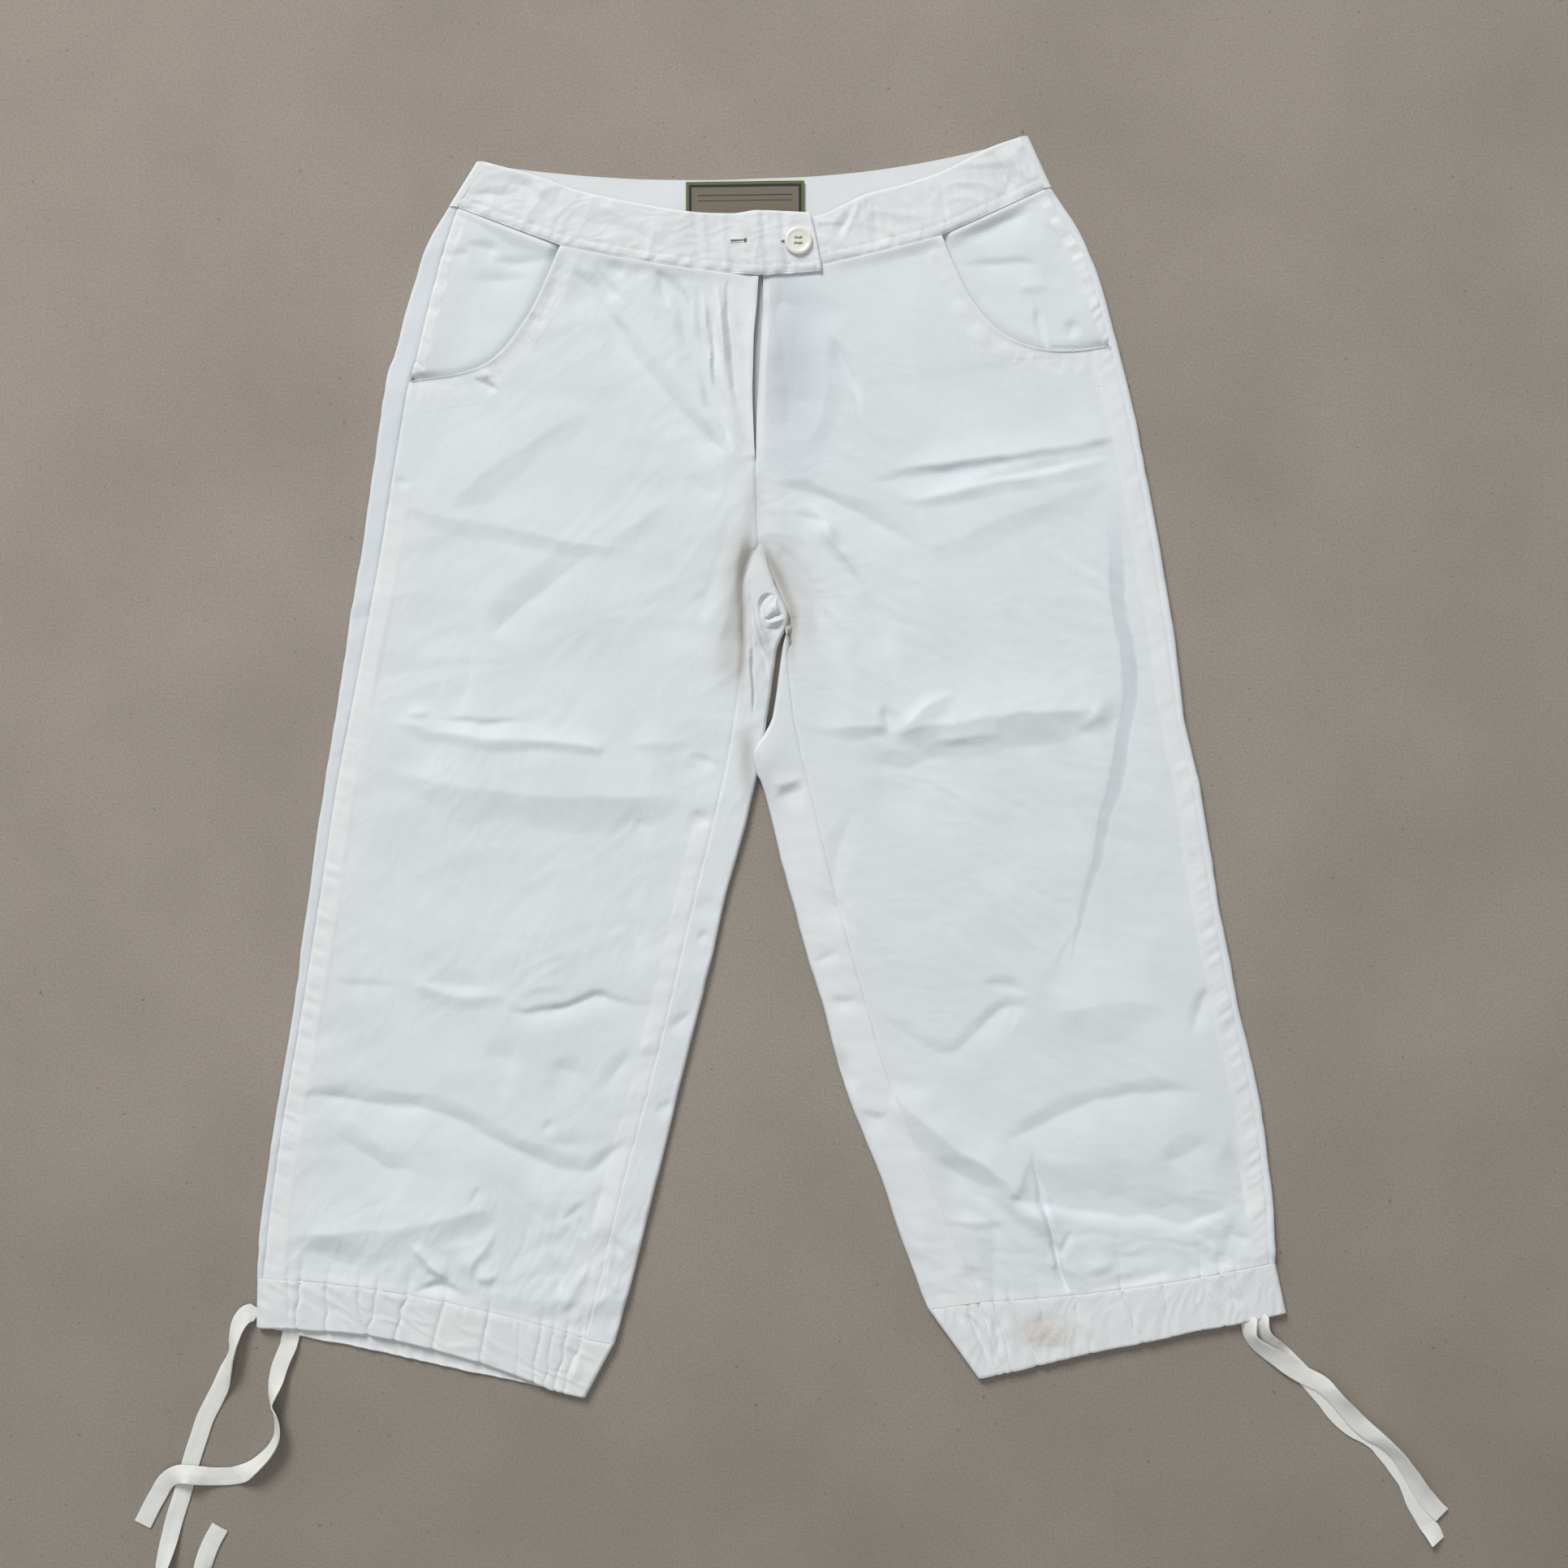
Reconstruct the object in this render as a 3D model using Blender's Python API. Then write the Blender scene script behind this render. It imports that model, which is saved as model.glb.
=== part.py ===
"""White cotton capri pants, laid flat and face up on a floor.

+X is the viewer's right, +Y runs up the pants to the waist, and +Z points
away from the floor, which is z = 0.  The origin is the middle of the pants'
box, on the floor.  "Left" and "right" are the viewer's.  Tables and sizes
are in millimetres, and put() turns them into metres.

Each leg is a flattened tube.  Its back panel lies on the floor, rolls up
round both folds and ends on top at the side seam and the inseam, and its
front panel lies on top between those two seams.
"""

from collections import namedtuple
from math import pi

import bmesh
import bpy
import numpy as np

MM = 0.001              # metres in a millimetre

GAP = 0.3               # clear space between two pieces at a seam
CLOTH = 1.0             # wall of a single panel
DOUBLE = 1.6            # wall of the folded waistband and of the hem casing
PILE = 5.5              # height of a front panel's face over the floor
BAND_PILE = 6.1         # height of the waistband's and the casings' faces
INSIDE = 2.4            # underside of the pieces between front and back
TAB_LIFT = 1.9          # rise of the waistband's tab onto the other end
ROW_STEP = 40.0         # longest run between two rows of a panel
FRONT_CELLS = 13        # cells across a front panel
FOLD_CELLS = 4          # cells round a side fold
FLOOR_CELLS = 3         # cells across the flat of a back panel
POCKET_ROW = 5          # row of a leg table where the pocket meets the seam
CREASE_LIMIT = 2.0      # a crease rises or sinks no more than this

WHITE = (0.80, 0.83, 0.85)
WARM_WHITE = (0.86, 0.87, 0.86)
IVORY = (0.82, 0.80, 0.74)
BEIGE = (0.42, 0.36, 0.27)

BUTTON_RADIUS = 9.5
BUTTON_THICK = 2.6
BUTTON_DISH = 0.9       # depth of the dish inside the button's rim
BUTTON_CENTRE = (18.0, 359.0)
BUTTON_HOLE = 0.85      # radius of a thread hole
BUTTON_HOLE_SPREAD = 1.9

TAPE_WIDTH = 12.0       # flat cotton drawstring
TAPE_THICK = 1.0

# A row of a leg table is one line across the leg, from the side seam to the
# inner fold (above the crotch, to the centre back seam on the floor).
# fold and fork say how far each seam lies in from its fold, and curl is 0
# where the inner edge lies flat and 1 where it is rolled right over.
Row = namedtuple("Row", "side_x side_y fold inner_x inner_y fork curl")

LEFT_ROWS = (
    Row(-215, 383, 6.5, -8.5, 363, 3, 0),
    Row(-224, 357, 12.0, -8.5, 337, 3, 0),
    Row(-231, 331, 13.5, -8.5, 312, 3, 0),
    Row(-238, 303, 15.0, -8.5, 287, 3, 0),
    Row(-243, 281, 16.0, -8.5, 264, 3, 0),
    Row(-248, 264, 16.5, -8.5, 242, 3, 0),
    Row(-258, 209, 14.5, -8.5, 198, 3, 0),
    Row(-266, 158, 14.0, -8.5, 154, 3, 0),
    Row(-271, 129, 13.5, -1.5, 130, 17, 1),
    Row(-276, 103, 13.0, 9.5, 103, 28, 1),
    Row(-280, 81, 12.0, 3.5, 81, 23, 1),
    Row(-288, 39, 10.5, -2.5, 39, 22, 1),
    Row(-298, -14, 9.0, -12.0, -14, 22.5, 1),
    Row(-310, -93, 8.0, -33.0, -93, 21, 1),
    Row(-320, -156, 7.0, -47.5, -158, 21.5, 1),
    Row(-331, -220, 6.0, -64.0, -222, 21, 1),
    Row(-338, -266, 5.5, -79.5, -283, 22, 1),
    Row(-344, -311, 6.0, -93.5, -341, 21.5, 1),
    Row(-348, -349, 4.5, -108.0, -394, 20, 1),
)

RIGHT_ROWS = (
    Row(186, 396, 5.5, -7.5, 363, 3, 0),
    Row(200, 372, 7.0, -7.5, 339, 3, 0),
    Row(212, 352, 5.0, -7.5, 314, 3, 0),
    Row(220, 331, 5.0, -7.5, 290, 3, 0),
    Row(226, 310, 5.0, -7.5, 266, 3, 0),
    Row(232, 288, 5.0, -7.5, 243, 3, 0),
    Row(246, 228, 5.0, -7.5, 198, 3, 0),
    Row(257, 170, 5.0, -7.0, 154, 3, 0),
    Row(263, 134, 5.0, -0.5, 130, 3, 0),
    Row(268, 103, 5.0, 11.0, 103, 3, 0),
    Row(272, 78, 5.0, 6.5, 78, 4, 1),
    Row(277, 39, 4.5, 1.0, 39, 13, 1),
    Row(288, -14, 5.0, -6.0, -14, 31, 1),
    Row(301, -93, 5.0, 14.0, -93, 31, 1),
    Row(313, -156, 5.0, 32.5, -156, 30, 1),
    Row(327, -220, 5.0, 51.0, -220, 31, 1),
    Row(334, -262, 5.0, 72.5, -276, 32, 1),
    Row(338, -301, 5.0, 89.0, -323, 35, 1),
    Row(340, -339, 4.5, 106.5, -370, 37, 1),
)

# Points (x, y) on each row's number, from the waist seam down: the scooped
# pocket edge, the front's edge at the fly and crotch, and the inner edge of
# the pocket facing.
Point = namedtuple("Point", "x y")

LEFT_POCKET = (
    Point(-145, 357), Point(-155, 333), Point(-168, 307),
    Point(-190, 280), Point(-215, 269), Point(-248, 264),
)
RIGHT_POCKET = (
    Point(116, 364), Point(125, 342), Point(138, 318),
    Point(160, 296), Point(194, 285), Point(232, 288),
)
LEFT_CENTRE = (
    Point(-9.5, 336), Point(-9.2, 316), Point(-9, 297), Point(-9, 278),
    Point(-9.5, 259), Point(-10.5, 240), Point(-11.2, 198), Point(-11, 154),
)
RIGHT_CENTRE = (
    Point(-7, 335), Point(-6.3, 316), Point(-7, 297), Point(-7.5, 278),
    Point(-8, 259), Point(-9, 240), Point(-10.6, 198), Point(-9.5, 154),
    Point(2.4, 130), Point(13.0, 103),
)
LEFT_FACING = (
    Point(-129, 349), Point(-139, 323), Point(-155, 296),
    Point(-176, 268), Point(-201, 251), Point(-226, 242),
)
RIGHT_FACING = (
    Point(100, 356), Point(108, 332), Point(123, 304),
    Point(146, 281), Point(182, 268), Point(219, 269),
)

# The largest folds of the front panels: a line, its half width and its
# height, which is negative for a trough.
Fold = namedtuple("Fold", "x1 y1 x2 y2 half_width height")

LEFT_FOLDS = (
    Fold(-132, 344, -80, 272, 12, -1.6),
    Fold(-80, 272, -36, 214, 12, -1.6),
    Fold(-83, 343, -49, 272, 10, -1.3),
    Fold(-106, 153, -195, 88, 17, -1.7),
    Fold(-90, 330, -60, 255, 12, 1.4),
    Fold(-237, -5, -42, -38, 15, -1.7),
    Fold(-315, -147, -72, -163, 12, -1.4),
    Fold(-330, -225, -150, -272, 14, -1.7),
    Fold(-150, -272, -95, -248, 12, -1.4),
    Fold(-250, -318, -200, -354, 12, 1.5),
)
RIGHT_FOLDS = (
    Fold(60, 194, 241, 226, 8, 1.5),
    Fold(81, 182, 239, 216, 8, 1.5),
    Fold(3, 193, 108, 150, 13, -1.6),
    Fold(108, 150, 225, 197, 13, -1.4),
    Fold(20, 177, 69, 117, 9, 1.6),
    Fold(6, 140, 42, 33, 12, -1.7),
    Fold(233, 191, 245, 33, 12, -1.5),
    Fold(245, 33, 201, -135, 10, -1.4),
    Fold(65, 2, 229, 27, 17, -1.7),
    Fold(153, -260, 314, -216, 14, -1.7),
    Fold(178, -260, 202, -369, 10, -1.5),
)

# Depth and places of the gathers, as fractions of the front of each hem
# casing from its side seam to its inseam.
LEFT_GATHERS = (0.10, 0.19, 0.28, 0.35, 0.44, 0.56, 0.70, 0.85)
RIGHT_GATHERS = (0.13, 0.25, 0.38, 0.47, 0.60, 0.72, 0.84, 0.93)
GATHER_DEPTH = 1.3
GATHER_SPREAD = 0.022

# How far the middle of a row sinks below the straight line between its ends.
# The waist and hem bows fade out over the rows next to them.
Bows = namedtuple("Bows", "waist_front waist_back hem_front hem_back")

Leg = namedtuple("Leg", "rows pocket centre facing folds bows hem_row hem_front hem_back gathers")

LEFT = Leg(LEFT_ROWS, LEFT_POCKET, LEFT_CENTRE, LEFT_FACING, LEFT_FOLDS,
           Bows(2.0, 9.0, -7.4, -2.0), Row(-349, -384, 4.0, -128, -431, 23, 1),
           -11.5, 0.0, LEFT_GATHERS)
RIGHT = Leg(RIGHT_ROWS, RIGHT_POCKET, RIGHT_CENTRE, RIGHT_FACING, RIGHT_FOLDS,
            Bows(1.0, 9.0, 4.0, 0.0), Row(348, -374, 4.0, 141, -418, 25, 1),
            -1.0, 0.0, RIGHT_GATHERS)
BOW_ROWS = 4.0          # rows over which a bow fades out

# Top edges of the waistband, from the side seam to the free end, and the
# lower edge of the tab that carries the button.
LEFT_BAND_TOP = (
    Point(-196, 414), Point(-159, 404), Point(-134, 395), Point(-98, 387),
    Point(-59, 380.5), Point(-26, 379), Point(-9, 380.5), Point(26, 379),
)
RIGHT_BAND_TOP = (
    Point(169, 431), Point(149, 424), Point(119, 409), Point(91, 399),
    Point(64, 392), Point(47, 384), Point(29, 377), Point(-5, 377),
)
TAB_LOWER = (Point(8, 337), Point(34, 339))
TAB_RAMP = (-32.0, -10.0)      # x where the tab starts to rise and is up
BACK_BAND_ENDS = (Row(-196, 414, 6.5, -8, 404, 0, 0), Row(169, 431, 6.5, -8, 404, 0, 0))
BACK_BAND_BOWS = (5.0, 6.5)

LABEL_CORNERS = (Point(-59, 401), Point(22, 402), Point(22, 368), Point(-59, 367))
LABEL_THICK = 0.6
UNDERLAP_EDGES = (Point(-24, 334), Point(13, 334), Point(4, 203), Point(-22, 203))

# Route of each drawstring end, from its hole in the casing to its cut end:
# the tape's middle, its roll in degrees off lying flat, and the height of
# its lower edge.
Lie = namedtuple("Lie", "x y roll lift")

LEFT_LONG_TAPE = (
    Lie(-355.2, -373, 0, 1.8), Lie(-360.5, -374.5, 15, 0.9), Lie(-365, -380, 25, 0.2),
    Lie(-368, -389, 40, 0), Lie(-370, -401, 58, 0), Lie(-374, -413, 35, 0),
    Lie(-378, -424, 10, 0), Lie(-383, -434, 0, 0), Lie(-389, -446, 0, 0),
    Lie(-393, -458, 0, 0), Lie(-397, -470, 0, 0), Lie(-401, -484, 0, 0),
    Lie(-405, -499, 0, 0), Lie(-410, -515, 0, 0), Lie(-414, -531, 10, 0),
    Lie(-418, -547, 35, 0), Lie(-420, -559, 60, 0), Lie(-417, -569, 75, 0),
    Lie(-409, -576, 80, 0), Lie(-400, -575, 80, 0), Lie(-394, -566, 75, 0),
    Lie(-391, -554, 50, 0), Lie(-389, -543, 15, 0), Lie(-385, -532, 0, 0),
    Lie(-379, -521, 0, 0),
)
LEFT_SHORT_TAPE = (
    Lie(-330.5, -391, 0, 0), Lie(-332, -397, 10, 0), Lie(-335, -404, 15, 0),
    Lie(-338, -412, 15, 0), Lie(-340, -420, 25, 0), Lie(-342, -428, 50, 0),
    Lie(-342.5, -435, 70, 0), Lie(-340, -442, 65, 0), Lie(-338.5, -450, 60, 0),
    Lie(-339, -458, 60, 0), Lie(-343, -466, 60, 0), Lie(-349, -473, 55, 0),
    Lie(-356, -479, 45, 0), Lie(-362, -483, 22, 0), Lie(-369, -485.5, 0, 0),
    Lie(-377, -486, 0, 0.3), Lie(-385, -485.5, 5, 1.2), Lie(-392, -484, 22, 2.0),
    Lie(-399, -482.5, 38, 2.6), Lie(-406, -483, 20, 2.4), Lie(-412, -486, 5, 1.9),
    Lie(-417, -491, 0, 0.9), Lie(-421, -498, 0, 0), Lie(-425, -505, 0, 0),
    Lie(-428.5, -512, 0, 0), Lie(-432, -519, 0, 0),
)
RIGHT_UPPER_TAPE = (
    Lie(326, -382, 62, 0), Lie(327, -389, 55, 0), Lie(332, -395, 45, 0.3),
    Lie(340, -400.5, 30, 1.0), Lie(347, -405, 15, 1.6), Lie(354, -410, 5, 1.8),
    Lie(361, -414.5, 0, 1.6), Lie(369, -418.5, 0, 1.5), Lie(376, -422, 10, 1.5),
    Lie(382, -427.5, 30, 1.4), Lie(388, -434, 35, 1.4), Lie(395, -441.5, 22, 1.4),
    Lie(402, -449, 12, 1.5), Lie(409, -455, 18, 1.6), Lie(416, -460, 38, 1.6),
    Lie(422, -465, 48, 1.6), Lie(428, -471, 50, 1.6), Lie(433, -478, 45, 1.6),
    Lie(438, -485, 38, 1.6), Lie(443, -493, 28, 1.4), Lie(449, -501, 12, 1.3),
    Lie(454, -507, 4, 1.3), Lie(459, -512, 0, 1.3),
)
RIGHT_LOWER_TAPE = (
    Lie(334.5, -381, 62, 0), Lie(337, -388, 50, 0), Lie(342, -394, 35, 0),
    Lie(347, -399, 12, 0), Lie(352, -404, 0, 0), Lie(359, -411, 0, 0),
    Lie(367, -419, 0, 0), Lie(374, -427, 0, 0), Lie(380, -434, 0, 0),
    Lie(386, -442, 0, 0), Lie(393, -449, 0, 0), Lie(400, -454, 0, 0),
    Lie(408, -458, 0, 0), Lie(415, -463, 0, 0), Lie(420, -469, 0, 0),
    Lie(425, -475, 0, 0), Lie(430, -482, 0, 0), Lie(435, -489, 0, 0),
    Lie(438, -496, 0, 0), Lie(441, -504, 0, 0), Lie(445, -511, 0, 0),
    Lie(449, -518, 0, 0), Lie(453, -524, -10, 0), Lie(456, -530, -25, 0),
)
TAPE_STEPS = 2          # rows of a tape for each point of its route


def clear_scene():
    """Remove every object that the file opens with."""
    for item in list(bpy.data.objects):
        bpy.data.objects.remove(item, do_unlink=True)


def finish(name, color, roughness):
    """Return a Principled material."""
    material = bpy.data.materials.new(name)
    material.use_nodes = True
    shader = material.node_tree.nodes["Principled BSDF"]
    shader.inputs["Base Color"].default_value = (*color, 1.0)
    shader.inputs["Roughness"].default_value = roughness
    return material


def put(name, points, faces, color, roughness=0.85):
    """Make one object from points in millimetres, with its faces outward."""
    mesh = bpy.data.meshes.new(name)
    mesh.from_pydata((np.asarray(points) * MM).tolist(), [], faces)
    work = bmesh.new()
    work.from_mesh(mesh)
    bmesh.ops.recalc_face_normals(work, faces=work.faces)
    work.to_mesh(mesh)
    work.free()
    mesh.shade_smooth()
    mesh.set_sharp_from_angle(angle=pi / 4)
    mesh.materials.append(finish(name, color, roughness))
    item = bpy.data.objects.new(name, mesh)
    bpy.context.scene.collection.objects.link(item)
    return item


def smooth(table, at):
    """Catmull-Rom curve through a table's rows, read at row numbers."""
    rows = np.asarray(table, float)
    padded = np.vstack([2 * rows[0] - rows[1], rows, 2 * rows[-1] - rows[-2]])
    at = np.clip(np.asarray(at, float), 0, len(rows) - 1)
    first = np.minimum(at.astype(int), len(rows) - 2)
    t = (at - first)[:, None]
    a, b, c, d = (padded[first + k] for k in range(4))
    return 0.5 * (2 * b + (c - a) * t + (2 * a - 5 * b + 4 * c - d) * t ** 2
                  + (3 * b - a - 3 * c + d) * t ** 3)


def row_numbers(rows):
    """Row numbers for a leg, no more than ROW_STEP apart on either side."""
    table = np.asarray(rows, float)
    outer_run = np.hypot(*np.diff(table[:, 0:2], axis=0).T)
    inner_run = np.hypot(*np.diff(table[:, 3:5], axis=0).T)
    steps = np.ceil(np.maximum(outer_run, inner_run) / ROW_STEP).astype(int)
    numbers = [row + part / steps[row] for row in range(len(steps)) for part in range(steps[row])]
    return np.array(numbers + [len(rows) - 1.0])


def leg_rows(leg):
    """A leg's rows at all its row numbers, with the curl kept in 0 to 1."""
    at = row_numbers(leg.rows)
    rows = smooth(leg.rows, at)
    rows[:, 6] = np.clip(rows[:, 6], 0.0, 1.0)
    return at, [Row(*row) for row in rows]


def fade(at, end):
    """1 at a row number, falling to 0 over BOW_ROWS."""
    return max(0.0, 1.0 - abs(at - end) / BOW_ROWS)


def row_line(row):
    """Outer fold point, unit direction inward and width of a row."""
    side = np.array((row.side_x, row.side_y), float)
    run = np.array((row.inner_x, row.inner_y), float) - side
    length = np.hypot(*run)
    direction = run / length
    return side - direction * row.fold, direction, length + row.fold


def sag(share, bow):
    """Drop at shares 0 to 1 of a row whose middle sinks by bow: a parabola."""
    return bow * 4.0 * share * (1.0 - share)


def half_row(row, wall, pile, bow):
    """Side strip, side fold and floor of a back piece: outer and inner points.

    The strip runs on top from the side seam to the fold, the fold is half a
    turn, and the floor goes on to where the inner fold starts.
    """
    start, direction, width = row_line(row)
    centre = pile / 2.0
    middle = centre - wall / 2.0
    turn = row.curl * pi
    tail = row.fork - centre + pi * middle - GAP / 2.0
    straight = max(0.0, tail - middle * turn)
    reach = centre * np.sin(min(turn, pi / 2.0)) + straight * max(0.0, np.cos(turn))
    floor_end = width - reach - (GAP / 2.0 if turn < pi / 2.0 else 0.0)
    angles = np.linspace(0.0, pi, FOLD_CELLS + 1)
    skins = []
    for offset in (0.0, wall):
        radius = centre - offset
        along = np.concatenate([[row.fold - GAP / 2.0], centre - radius * np.sin(angles),
                                np.linspace(centre, floor_end, FLOOR_CELLS + 1)[1:]])
        height = np.concatenate([[pile - offset], centre + radius * np.cos(angles),
                                 np.full(FLOOR_CELLS, offset)])
        plan = start + np.outer(along, direction)
        plan[-FLOOR_CELLS:, 1] -= sag(np.linspace(0.0, 1.0, FLOOR_CELLS + 1)[1:], bow)
        skins.append(np.column_stack([plan, height]))
    return skins, (start, direction, floor_end, tail, turn, centre)


def tail_row(frame, wall):
    """Inner fold of a back panel, rolled up by its turn: outer and inner points."""
    start, direction, floor_end, tail, turn, centre = frame
    middle = centre - wall / 2.0
    arc = min(0.8 * tail, pi * middle)
    run = np.concatenate([np.linspace(0.0, arc, FOLD_CELLS + 1)[1:], [tail]])
    angle = np.minimum(run / middle, turn)
    straight = np.maximum(run - middle * turn, 0.0)
    skins = []
    for offset in (0.0, wall):
        radius = centre - offset
        along = floor_end + radius * np.sin(angle) + straight * np.cos(turn)
        height = centre - radius * np.cos(angle) + straight * np.sin(turn)
        skins.append(np.column_stack([start + np.outer(along, direction), height]))
    return skins


def grid_faces(rows, columns, closed=False):
    """Quads of a closed wall between two grids of points, rims included."""
    shift = rows * columns
    last = columns if closed else columns - 1
    faces = []
    for i in range(rows - 1):
        for j in range(last):
            k = (j + 1) % columns
            quad = (i * columns + j, i * columns + k, (i + 1) * columns + k, (i + 1) * columns + j)
            faces.append(quad)
            faces.append(tuple(shift + corner for corner in reversed(quad)))
    for i in (0, rows - 1):
        for j in range(last):
            k = (j + 1) % columns
            a, b = i * columns + j, i * columns + k
            faces.append((a, b, shift + b, shift + a) if i else (b, a, shift + a, shift + b))
    if not closed:
        for j in (0, columns - 1):
            for i in range(rows - 1):
                a, b = i * columns + j, (i + 1) * columns + j
                faces.append((b, a, shift + a, shift + b) if j else (a, b, shift + b, shift + a))
    return faces


def wall(name, outer, inner, color, closed=False):
    """A named wall between an outer and an inner grid of points."""
    outer, inner = np.asarray(outer), np.asarray(inner)
    rows, columns = outer.shape[:2]
    points = np.concatenate([outer.reshape(-1, 3), inner.reshape(-1, 3)])
    return put(name, points, grid_faces(rows, columns, closed), color)


def plate(name, plan, under, thick, color):
    """A wall of even thickness over a grid of plan points and heights."""
    lower = np.dstack([plan, under])
    upper = lower + np.array((0.0, 0.0, thick))
    return wall(name, upper, lower, color)


def back_panel(name, leg):
    """Back of one leg, from the waist seam to the hem casing."""
    numbers, rows = leg_rows(leg)
    last = len(leg.rows) - 1
    outer, inner = [], []
    for number, row in zip(numbers, rows):
        bow = leg.bows.waist_back * fade(number, 0) + leg.bows.hem_back * fade(number, last)
        skins, frame = half_row(row, CLOTH, PILE, bow)
        tails = tail_row(frame, CLOTH)
        outer.append(np.vstack([skins[0], tails[0]]))
        inner.append(np.vstack([skins[1], tails[1]]))
    return wall(name, outer, inner, WHITE)


def front_edges(leg):
    """Both edges of a front panel at each of its rows, half a gap in."""
    numbers, rows = leg_rows(leg)
    pocket = smooth(leg.pocket, numbers)
    centre = smooth(leg.centre, numbers)
    last_centre = len(leg.centre) - 1
    edges = []
    for i, (number, row) in enumerate(zip(numbers, rows)):
        start, direction, width = row_line(row)
        outer = start + direction * row.fold
        inner = start + direction * (width - row.fork)
        if number < POCKET_ROW:
            outer = pocket[i]
        share = np.clip(number - last_centre, 0.0, 1.0)
        inner = centre[i] * (1.0 - share) + inner * share
        step = (inner - outer) / np.hypot(*(inner - outer)) * GAP / 2.0
        edges.append((outer + step, inner - step))
    return numbers, np.array(edges)


def relief(plan, folds):
    """Height of the folds over plan points: a soft ridge along each line."""
    height = np.zeros(plan.shape[:2])
    for fold in folds:
        start = np.array((fold.x1, fold.y1), float)
        run = np.array((fold.x2, fold.y2), float) - start
        share = np.clip((plan - start) @ run / (run @ run), 0.0, 1.0)
        off = np.hypot(*np.moveaxis(plan - start - share[..., None] * run, -1, 0))
        height += fold.height * np.exp(-(off / fold.half_width) ** 2)
    return np.clip(height, -CREASE_LIMIT, CREASE_LIMIT)


def front_panel(name, leg):
    """Front of one leg, from the waist seam to the hem casing."""
    numbers, edges = front_edges(leg)
    last = len(leg.rows) - 1
    across = np.linspace(0.0, 1.0, FRONT_CELLS + 1)
    plan = edges[:, 0, None] * (1 - across[:, None]) + edges[:, 1, None] * across[:, None]
    for i, number in enumerate(numbers):
        bow = leg.bows.waist_front * fade(number * 2, 0) + leg.bows.hem_front * fade(number, last)
        plan[i, :, 1] -= sag(across, bow)
    seam_fade = np.clip(np.minimum(across, 1.0 - across) / 0.15, 0.0, 1.0)
    rise = relief(plan, leg.folds) * seam_fade
    rise[[0, -1]] = 0.0
    return plate(name, plan, PILE - CLOTH + rise, CLOTH, WHITE)


def pocket_facing(name, leg):
    """Cloth seen inside the scooped pocket, from the side seam inward.

    It lies level with the side seam there, and sinks under the front panel.
    """
    numbers, rows = leg_rows(leg)
    numbers = numbers[numbers <= POCKET_ROW]
    inner = smooth(leg.facing, numbers)
    across = np.linspace(0.0, 1.0, 7)
    plan, under = [], []
    for number, row, end in zip(numbers, rows, inner):
        start, direction, _ = row_line(row)
        seam = start + direction * (row.fold + GAP / 2.0)
        plan.append(seam + np.outer(across, end - seam))
        high = (PILE - CLOTH - INSIDE) * np.clip(POCKET_ROW - 0.5 - number, 0.0, 1.0)
        sink = np.clip(across / 0.5, 0.0, 1.0)
        under.append(INSIDE + high * (1.0 - sink * sink * (3.0 - 2.0 * sink)))
    return plate(name, np.array(plan), np.array(under), CLOTH, WHITE)


def waist_seam(leg):
    """Waist seam of one front, from the side seam over the pocket to the fly."""
    row = leg.rows[0]
    pocket, centre = np.array(leg.pocket[0], float), np.array(leg.centre[0], float)
    side = np.array((row.side_x, row.side_y), float)
    over_pocket = side + np.outer(np.linspace(0.0, 1.0, 5)[:-1], pocket - side)
    share = np.linspace(0.0, 1.0, 9)
    over_front = pocket + np.outer(share, centre - pocket)
    over_front[:, 1] -= sag(share, leg.bows.waist_front)
    return np.vstack([over_pocket, over_front])


def even_points(line, count):
    """Points at even distances along a line of points."""
    run = np.concatenate([[0.0], np.cumsum(np.hypot(*np.diff(line, axis=0).T))])
    at = np.linspace(0.0, run[-1], count)
    return np.column_stack([np.interp(at, run, line[:, k]) for k in (0, 1)])


def front_band(name, leg, top_edge, tab=()):
    """Front half of the waistband, with the button tab if it has one."""
    lower = waist_seam(leg) + np.array((0.0, GAP))
    if tab:
        lower = np.vstack([lower, np.array(tab, float)])
    upper = smooth(top_edge, np.linspace(0, len(top_edge) - 1, 40))
    count = 19
    ends = even_points(lower, count), even_points(upper, count)
    inward = np.array((np.sign(ends[0][-1][0] - ends[0][0][0]) * GAP / 2.0, 0.0))
    for edge in ends:
        edge[0] += inward
    share = np.linspace(0.0, 1.0, 4)[:, None, None]
    plan = ends[0] * (1.0 - share) + ends[1] * share
    under = np.full(plan.shape[:2], BAND_PILE - DOUBLE)
    if tab:
        rise = np.clip((plan[..., 0] - TAB_RAMP[0]) / (TAB_RAMP[1] - TAB_RAMP[0]), 0.0, 1.0)
        under = under + TAB_LIFT * rise
    return plate(name, plan, under, DOUBLE, WARM_WHITE)


def back_band(name):
    """Back of the waistband: it lies on the floor and rolls up at both sides."""
    halves = []
    for leg, end, bow in zip((LEFT, RIGHT), BACK_BAND_ENDS, BACK_BAND_BOWS):
        lower = leg.rows[0]._replace(inner_x=-8, fork=0, curl=0)
        lower = lower._replace(side_y=lower.side_y + GAP, inner_y=lower.inner_y + GAP)
        middle = Row(*((np.array(lower) + np.array(end)) / 2.0))
        half = []
        for row, sink in ((lower, leg.bows.waist_back), (middle, (leg.bows.waist_back + bow) / 2.0), (end, bow)):
            skins, frame = half_row(row, DOUBLE, BAND_PILE, sink)
            half.append([skin[:-1] for skin in skins])
        halves.append(half)
    skins = []
    for side in (0, 1):
        skins.append([np.vstack([left[side], [mean_point(left[side], right[side])],
                                 right[side][::-1]]) for left, right in zip(*halves)])
    return wall(name, skins[0], skins[1], WARM_WHITE)


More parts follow.
